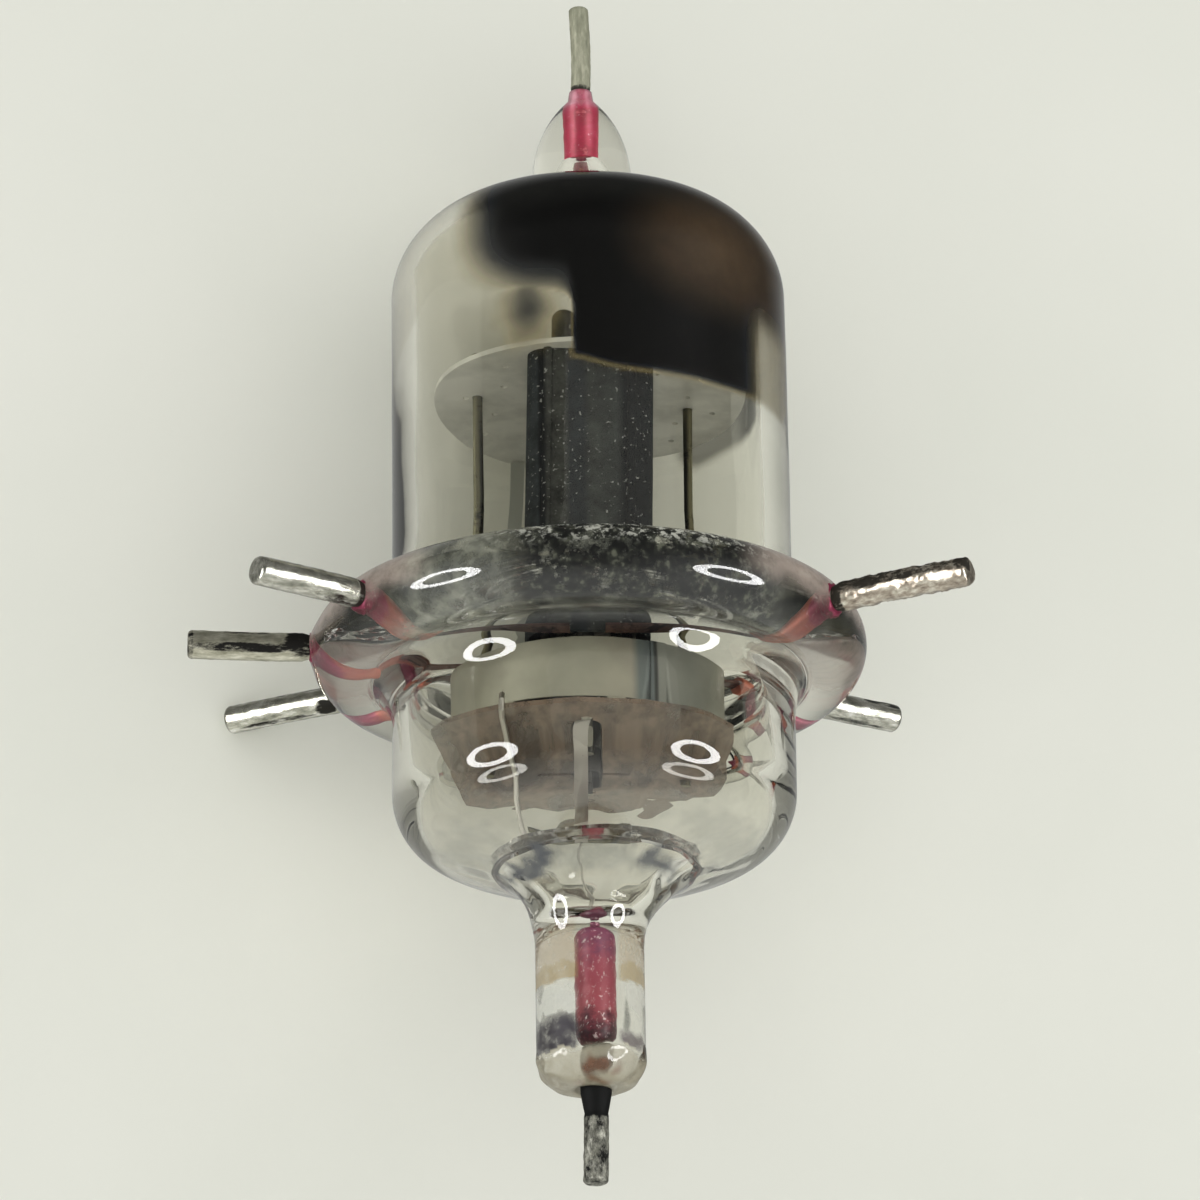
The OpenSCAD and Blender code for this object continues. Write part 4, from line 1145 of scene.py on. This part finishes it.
noseTop = glass["upper"][0] + glass["nippleFoot"] + glass["nose"]
gridPin = {
    "rings": [(noseTop + 0.4, 0.33), (noseTop + 0.6, 0.36)],
    "tip": (25.4, 0.36, 0.12),
    "sealRings": [
        (noseTop - glass["nose"] + glass["sealFoot"] + 0.02, 0.39), (noseTop - 0.7, 0.4),
        (noseTop + 0.4, 0.33),
    ],
    "spots": [(22.02, 0, 0.16, 400, 0.5), (23.6, 80, 1.0, 12, 0.2)],
    "nickel": {
        "turn": (0, math.radians(-90), 0),
        "low": "#8c8d7b", "main": "#a9a994", "bright": "#cbcab4", "dark": "#33302a",
        "metallic": 0.35, "drawn": 4.0, "fleck": 3.0, "roughness": 0.45,
    },
}
wire(
    "grid_pinWire",
    -stemAxis,
    roundRings(gridPin["rings"] + roundedTip(*gridPin["tip"])),
    {
        "seed": 27,
        "bend": 0.035,
        "lumps": lambda along, turn: 0.014,
        "tarnish": lambda along, turn: patchOf(gridPin["spots"], along, turn),
    },
    tubeMaterial("gridNickel", pinNickel, gridPin["nickel"]),
    "grid_pin",
)
wire(
    "grid_sealWire",
    -stemAxis,
    roundRings(gridPin["sealRings"]),
    {
        "seed": 29,
        "lumps": lambda along, turn: 0.01,
        # painted shade: the strip facing the camera stays darker than the wire's sides; towards the top it
        # turns pink
        "tint": lambda along, turn: 0.34
        + 0.14 * smooth(abs(turn), 18, 30)
        + 0.5 * smooth(along, noseTop - 0.9, noseTop - 0.3),
    },
    tubeMaterial("crimsonSealedCopper", sealCopper, sealLook["grid"]),
    "grid_seal",
)
dress(tubeMaterial("bareCopperLead", sealCopper, sealLook["lead"]), "grid_lead")
print("pins and seals drawn")

mica = {  # cover is how much the sheet hides; grain is mm across, drawn how far it is stretched
    "splitMica": {
        "node": "upper_mica",
        "colour": "#f2f1e8", "dark": "#dcdbd1", "cover": 0.94, "grain": 3.0, "drawn": 1.0,
    },
    "smokedMica": {
        "node": "lower_mica",
        "colour": "#7d6a5a", "dark": "#3b2e26", "cover": 0.66, "grain": 0.9, "drawn": 3.0,
    },
}


def micaSheet(tree, place, look):
    # mica split to a thin sheet: half clear, smooth, cloudy where layers lift or metal has settled
    stretch = {"vector_type": "TEXTURE", "Scale": (1.0, look["drawn"], 1.0)}
    flakes = addNode(tree, "Mapping", stretch, {"Vector": place})
    cloud = addNode(
        tree, "TexNoise", {"Scale": 1 / look["grain"], "Detail": 6, "Roughness": 0.6}, {"Vector": flakes}
    )
    tone = addNode(tree, "ValToRGB", {"stops": [(0.35, look["dark"]), (0.6, look["colour"])]}, {0: cloud})
    hiding = {"From Min": 0.3, "From Max": 0.7, "To Min": look["cover"] - 0.2, "To Max": look["cover"] + 0.15}
    cover = addNode(tree, "MapRange", hiding, {"Value": cloud})
    return addNode(
        tree, "BsdfPrincipled", {"Roughness": 0.3, "IOR": 1.58}, {"Base Color": tone, "Alpha": cover}
    )


for name, look in mica.items():
    dress(tubeMaterial(name, micaSheet, look), look["node"])

carbon = {
    "half": 2.2,  # mm, half the width that the stripes run across
    "stripes": [  # darker and lighter stripes across the width: share of the width, colour
        (0.0, "#272b2d"), (0.09, "#272b2d"), (0.11, "#0c0f12"), (0.14, "#101315"), (0.17, "#363735"),
        (0.30, "#383936"), (0.34, "#1c2023"), (0.44, "#1c2023"), (0.50, "#2d2f2d"), (0.70, "#2b2e2d"),
        (0.76, "#090c0f"), (1.0, "#0f1316"),
    ],
    "mottle": 0.9,  # mm
    "speck": "#a9aaa6",
}


def carbonised(tree, place, look):
    # nickel sheet baked in carbon: dead matt charcoal, darker and lighter in stripes across its width, with
    # pale dust specks
    side = addNode(tree, "SeparateXYZ", links={0: place}).outputs[0]
    share = addNode(tree, "MapRange", {"From Min": -look["half"], "From Max": look["half"]}, {"Value": side})
    stripe = addNode(tree, "ValToRGB", {"stops": look["stripes"]}, {0: share})
    cloud = addNode(
        tree, "TexNoise", {"Scale": 1 / look["mottle"], "Detail": 8, "Roughness": 0.75}, {"Vector": place}
    )
    mottling = {"From Min": 0.3, "From Max": 0.7, "To Min": 0.3, "To Max": 2.2}
    level = addNode(tree, "MapRange", mottling, {"Value": cloud})
    tone = addNode(
        tree, "Mix", {"data_type": "RGBA", "blend_type": "MULTIPLY", 0: 1.0}, {6: stripe, 7: level}
    )
    dust = addNode(tree, "TexNoise", {"Scale": 7.0, "Detail": 3, "Roughness": 0.5}, {"Vector": place})
    specks = addNode(tree, "MapRange", {"From Min": 0.64, "From Max": 0.71, "To Max": 0.7}, {"Value": dust})
    dusty = addNode(
        tree, "Mix", {"data_type": "RGBA", 7: linearColour(look["speck"])}, {0: specks, 6: tone.outputs[2]}
    )
    bump = addNode(tree, "Bump", {"Strength": 0.25, "Distance": 0.00002}, {"Height": cloud})
    return addNode(
        tree,
        "BsdfPrincipled",
        {"Roughness": 0.8, "Specular IOR Level": 0.1},
        {"Base Color": dusty.outputs[2], "Normal": bump},
    )


dress(tubeMaterial("carbonisedNickel", carbonised, carbon), "anode")

oxide = {"colour": "#e9e8e2", "pale": "#ffffff", "bare": "#3a3632", "foot": -3.2, "grain": 0.08}  # mm


def sprayedOxide(tree, place, look):
    # oxide sprayed on the cathode and heater: dead matt white, fine even grain, bare dark nickel at the foot
    grain = addNode(
        tree, "TexNoise", {"Scale": 1 / look["grain"], "Detail": 4, "Roughness": 0.8}, {"Vector": place}
    )
    tone = addNode(tree, "ValToRGB", {"stops": [(0.35, look["colour"]), (0.75, look["pale"])]}, {0: grain})
    height = addNode(tree, "SeparateXYZ", links={0: place}).outputs[2]
    edge = {"From Min": look["foot"], "From Max": look["foot"] + 0.3}
    coated = addNode(tree, "MapRange", edge, {"Value": height})
    tone = addNode(tree, "Mix", {"data_type": "RGBA", 6: linearColour(look["bare"])}, {0: coated, 7: tone})
    bump = addNode(tree, "Bump", {"Strength": 0.3, "Distance": 0.00003}, {"Height": grain})
    return addNode(
        tree, "BsdfPrincipled", {"Roughness": 0.9}, {"Base Color": tone.outputs[2], "Normal": bump}
    )


dress(tubeMaterial("sprayedOxide", sprayedOxide, oxide), "cathode_sleeve", "heater")

cup = {
    "half": 4.8,  # mm, half the width that the bands run across
    "skin": 4.69,  # mm, between the cup's inner and outer radius
    "aside": 0.048,  # mm that the leaning mount puts the cup to the left
    "inside": "#262320",  # sooted inside
    "bands": [  # the sheet's darker blue-grey and grey bands, and the dark seam: share of the width, colour
        (0.0, "#8f8f80"), (0.15, "#99988a"), (0.45, "#9b9a8c"), (0.63, "#8f8b7e"), (0.66, "#58605f"),
        (0.711, "#4a5253"), (0.716, "#1f2121"), (0.724, "#1f2121"), (0.731, "#6c6e68"), (0.86, "#74766f"),
        (1.0, "#8a8a7e"),
    ],
}


def pressedCup(tree, place, look):
    # pressed nickel sheet, fired: satin khaki, darker blue-grey in bands beside the seam
    cloud = addNode(tree, "TexNoise", {"Scale": 0.5, "Detail": 5, "Roughness": 0.55}, {"Vector": place})
    side = addNode(tree, "SeparateXYZ", links={0: place}).outputs[0]
    share = addNode(tree, "MapRange", {"From Min": -look["half"], "From Max": look["half"]}, {"Value": side})
    band = addNode(tree, "ValToRGB", {"stops": look["bands"]}, {0: share})
    clouding = {"From Min": 0.3, "From Max": 0.7, "To Min": 1.08, "To Max": 1.52}
    level = addNode(tree, "MapRange", clouding, {"Value": cloud})
    tone = addNode(tree, "Mix", {"data_type": "RGBA", "blend_type": "MULTIPLY", 0: 1.0}, {6: band, 7: level})
    flat = addNode(
        tree, "VectorMath", {"operation": "MULTIPLY_ADD", 1: (1, 1, 0), 2: (look["aside"], 0, 0)}, {0: place}
    )
    reach = addNode(tree, "VectorMath", {"operation": "LENGTH"}, {0: flat}).outputs["Value"]
    wall = {"From Min": look["skin"] - 0.02, "From Max": look["skin"] + 0.02}
    outside = addNode(tree, "MapRange", wall, {"Value": reach})
    tone = addNode(
        tree, "Mix", {"data_type": "RGBA", 6: linearColour(look["inside"])}, {0: outside, 7: tone.outputs[2]}
    )
    scratch = addNode(tree, "TexNoise", {"Scale": 12.0, "Detail": 4, "Roughness": 0.7}, {"Vector": place})
    bump = addNode(tree, "Bump", {"Strength": 0.08, "Distance": 0.00003}, {"Height": scratch})
    return addNode(
        tree,
        "BsdfPrincipled",
        {"Roughness": 0.45, "Metallic": 0.25},
        {"Base Color": tone.outputs[2], "Normal": bump},
    )


dress(tubeMaterial("pressedNickelCup", pressedCup, cup), "shield_cup")
print("metal and mica dressed")

bpy.context.scene.view_settings.view_transform = "Standard"
# the light has to get through many layers of glass
bpy.context.scene.cycles.max_bounces = 32
bpy.context.scene.cycles.transmission_bounces = 28
bpy.context.scene.cycles.transparent_max_bounces = 24
bpy.context.scene.cycles.glossy_bounces = 12
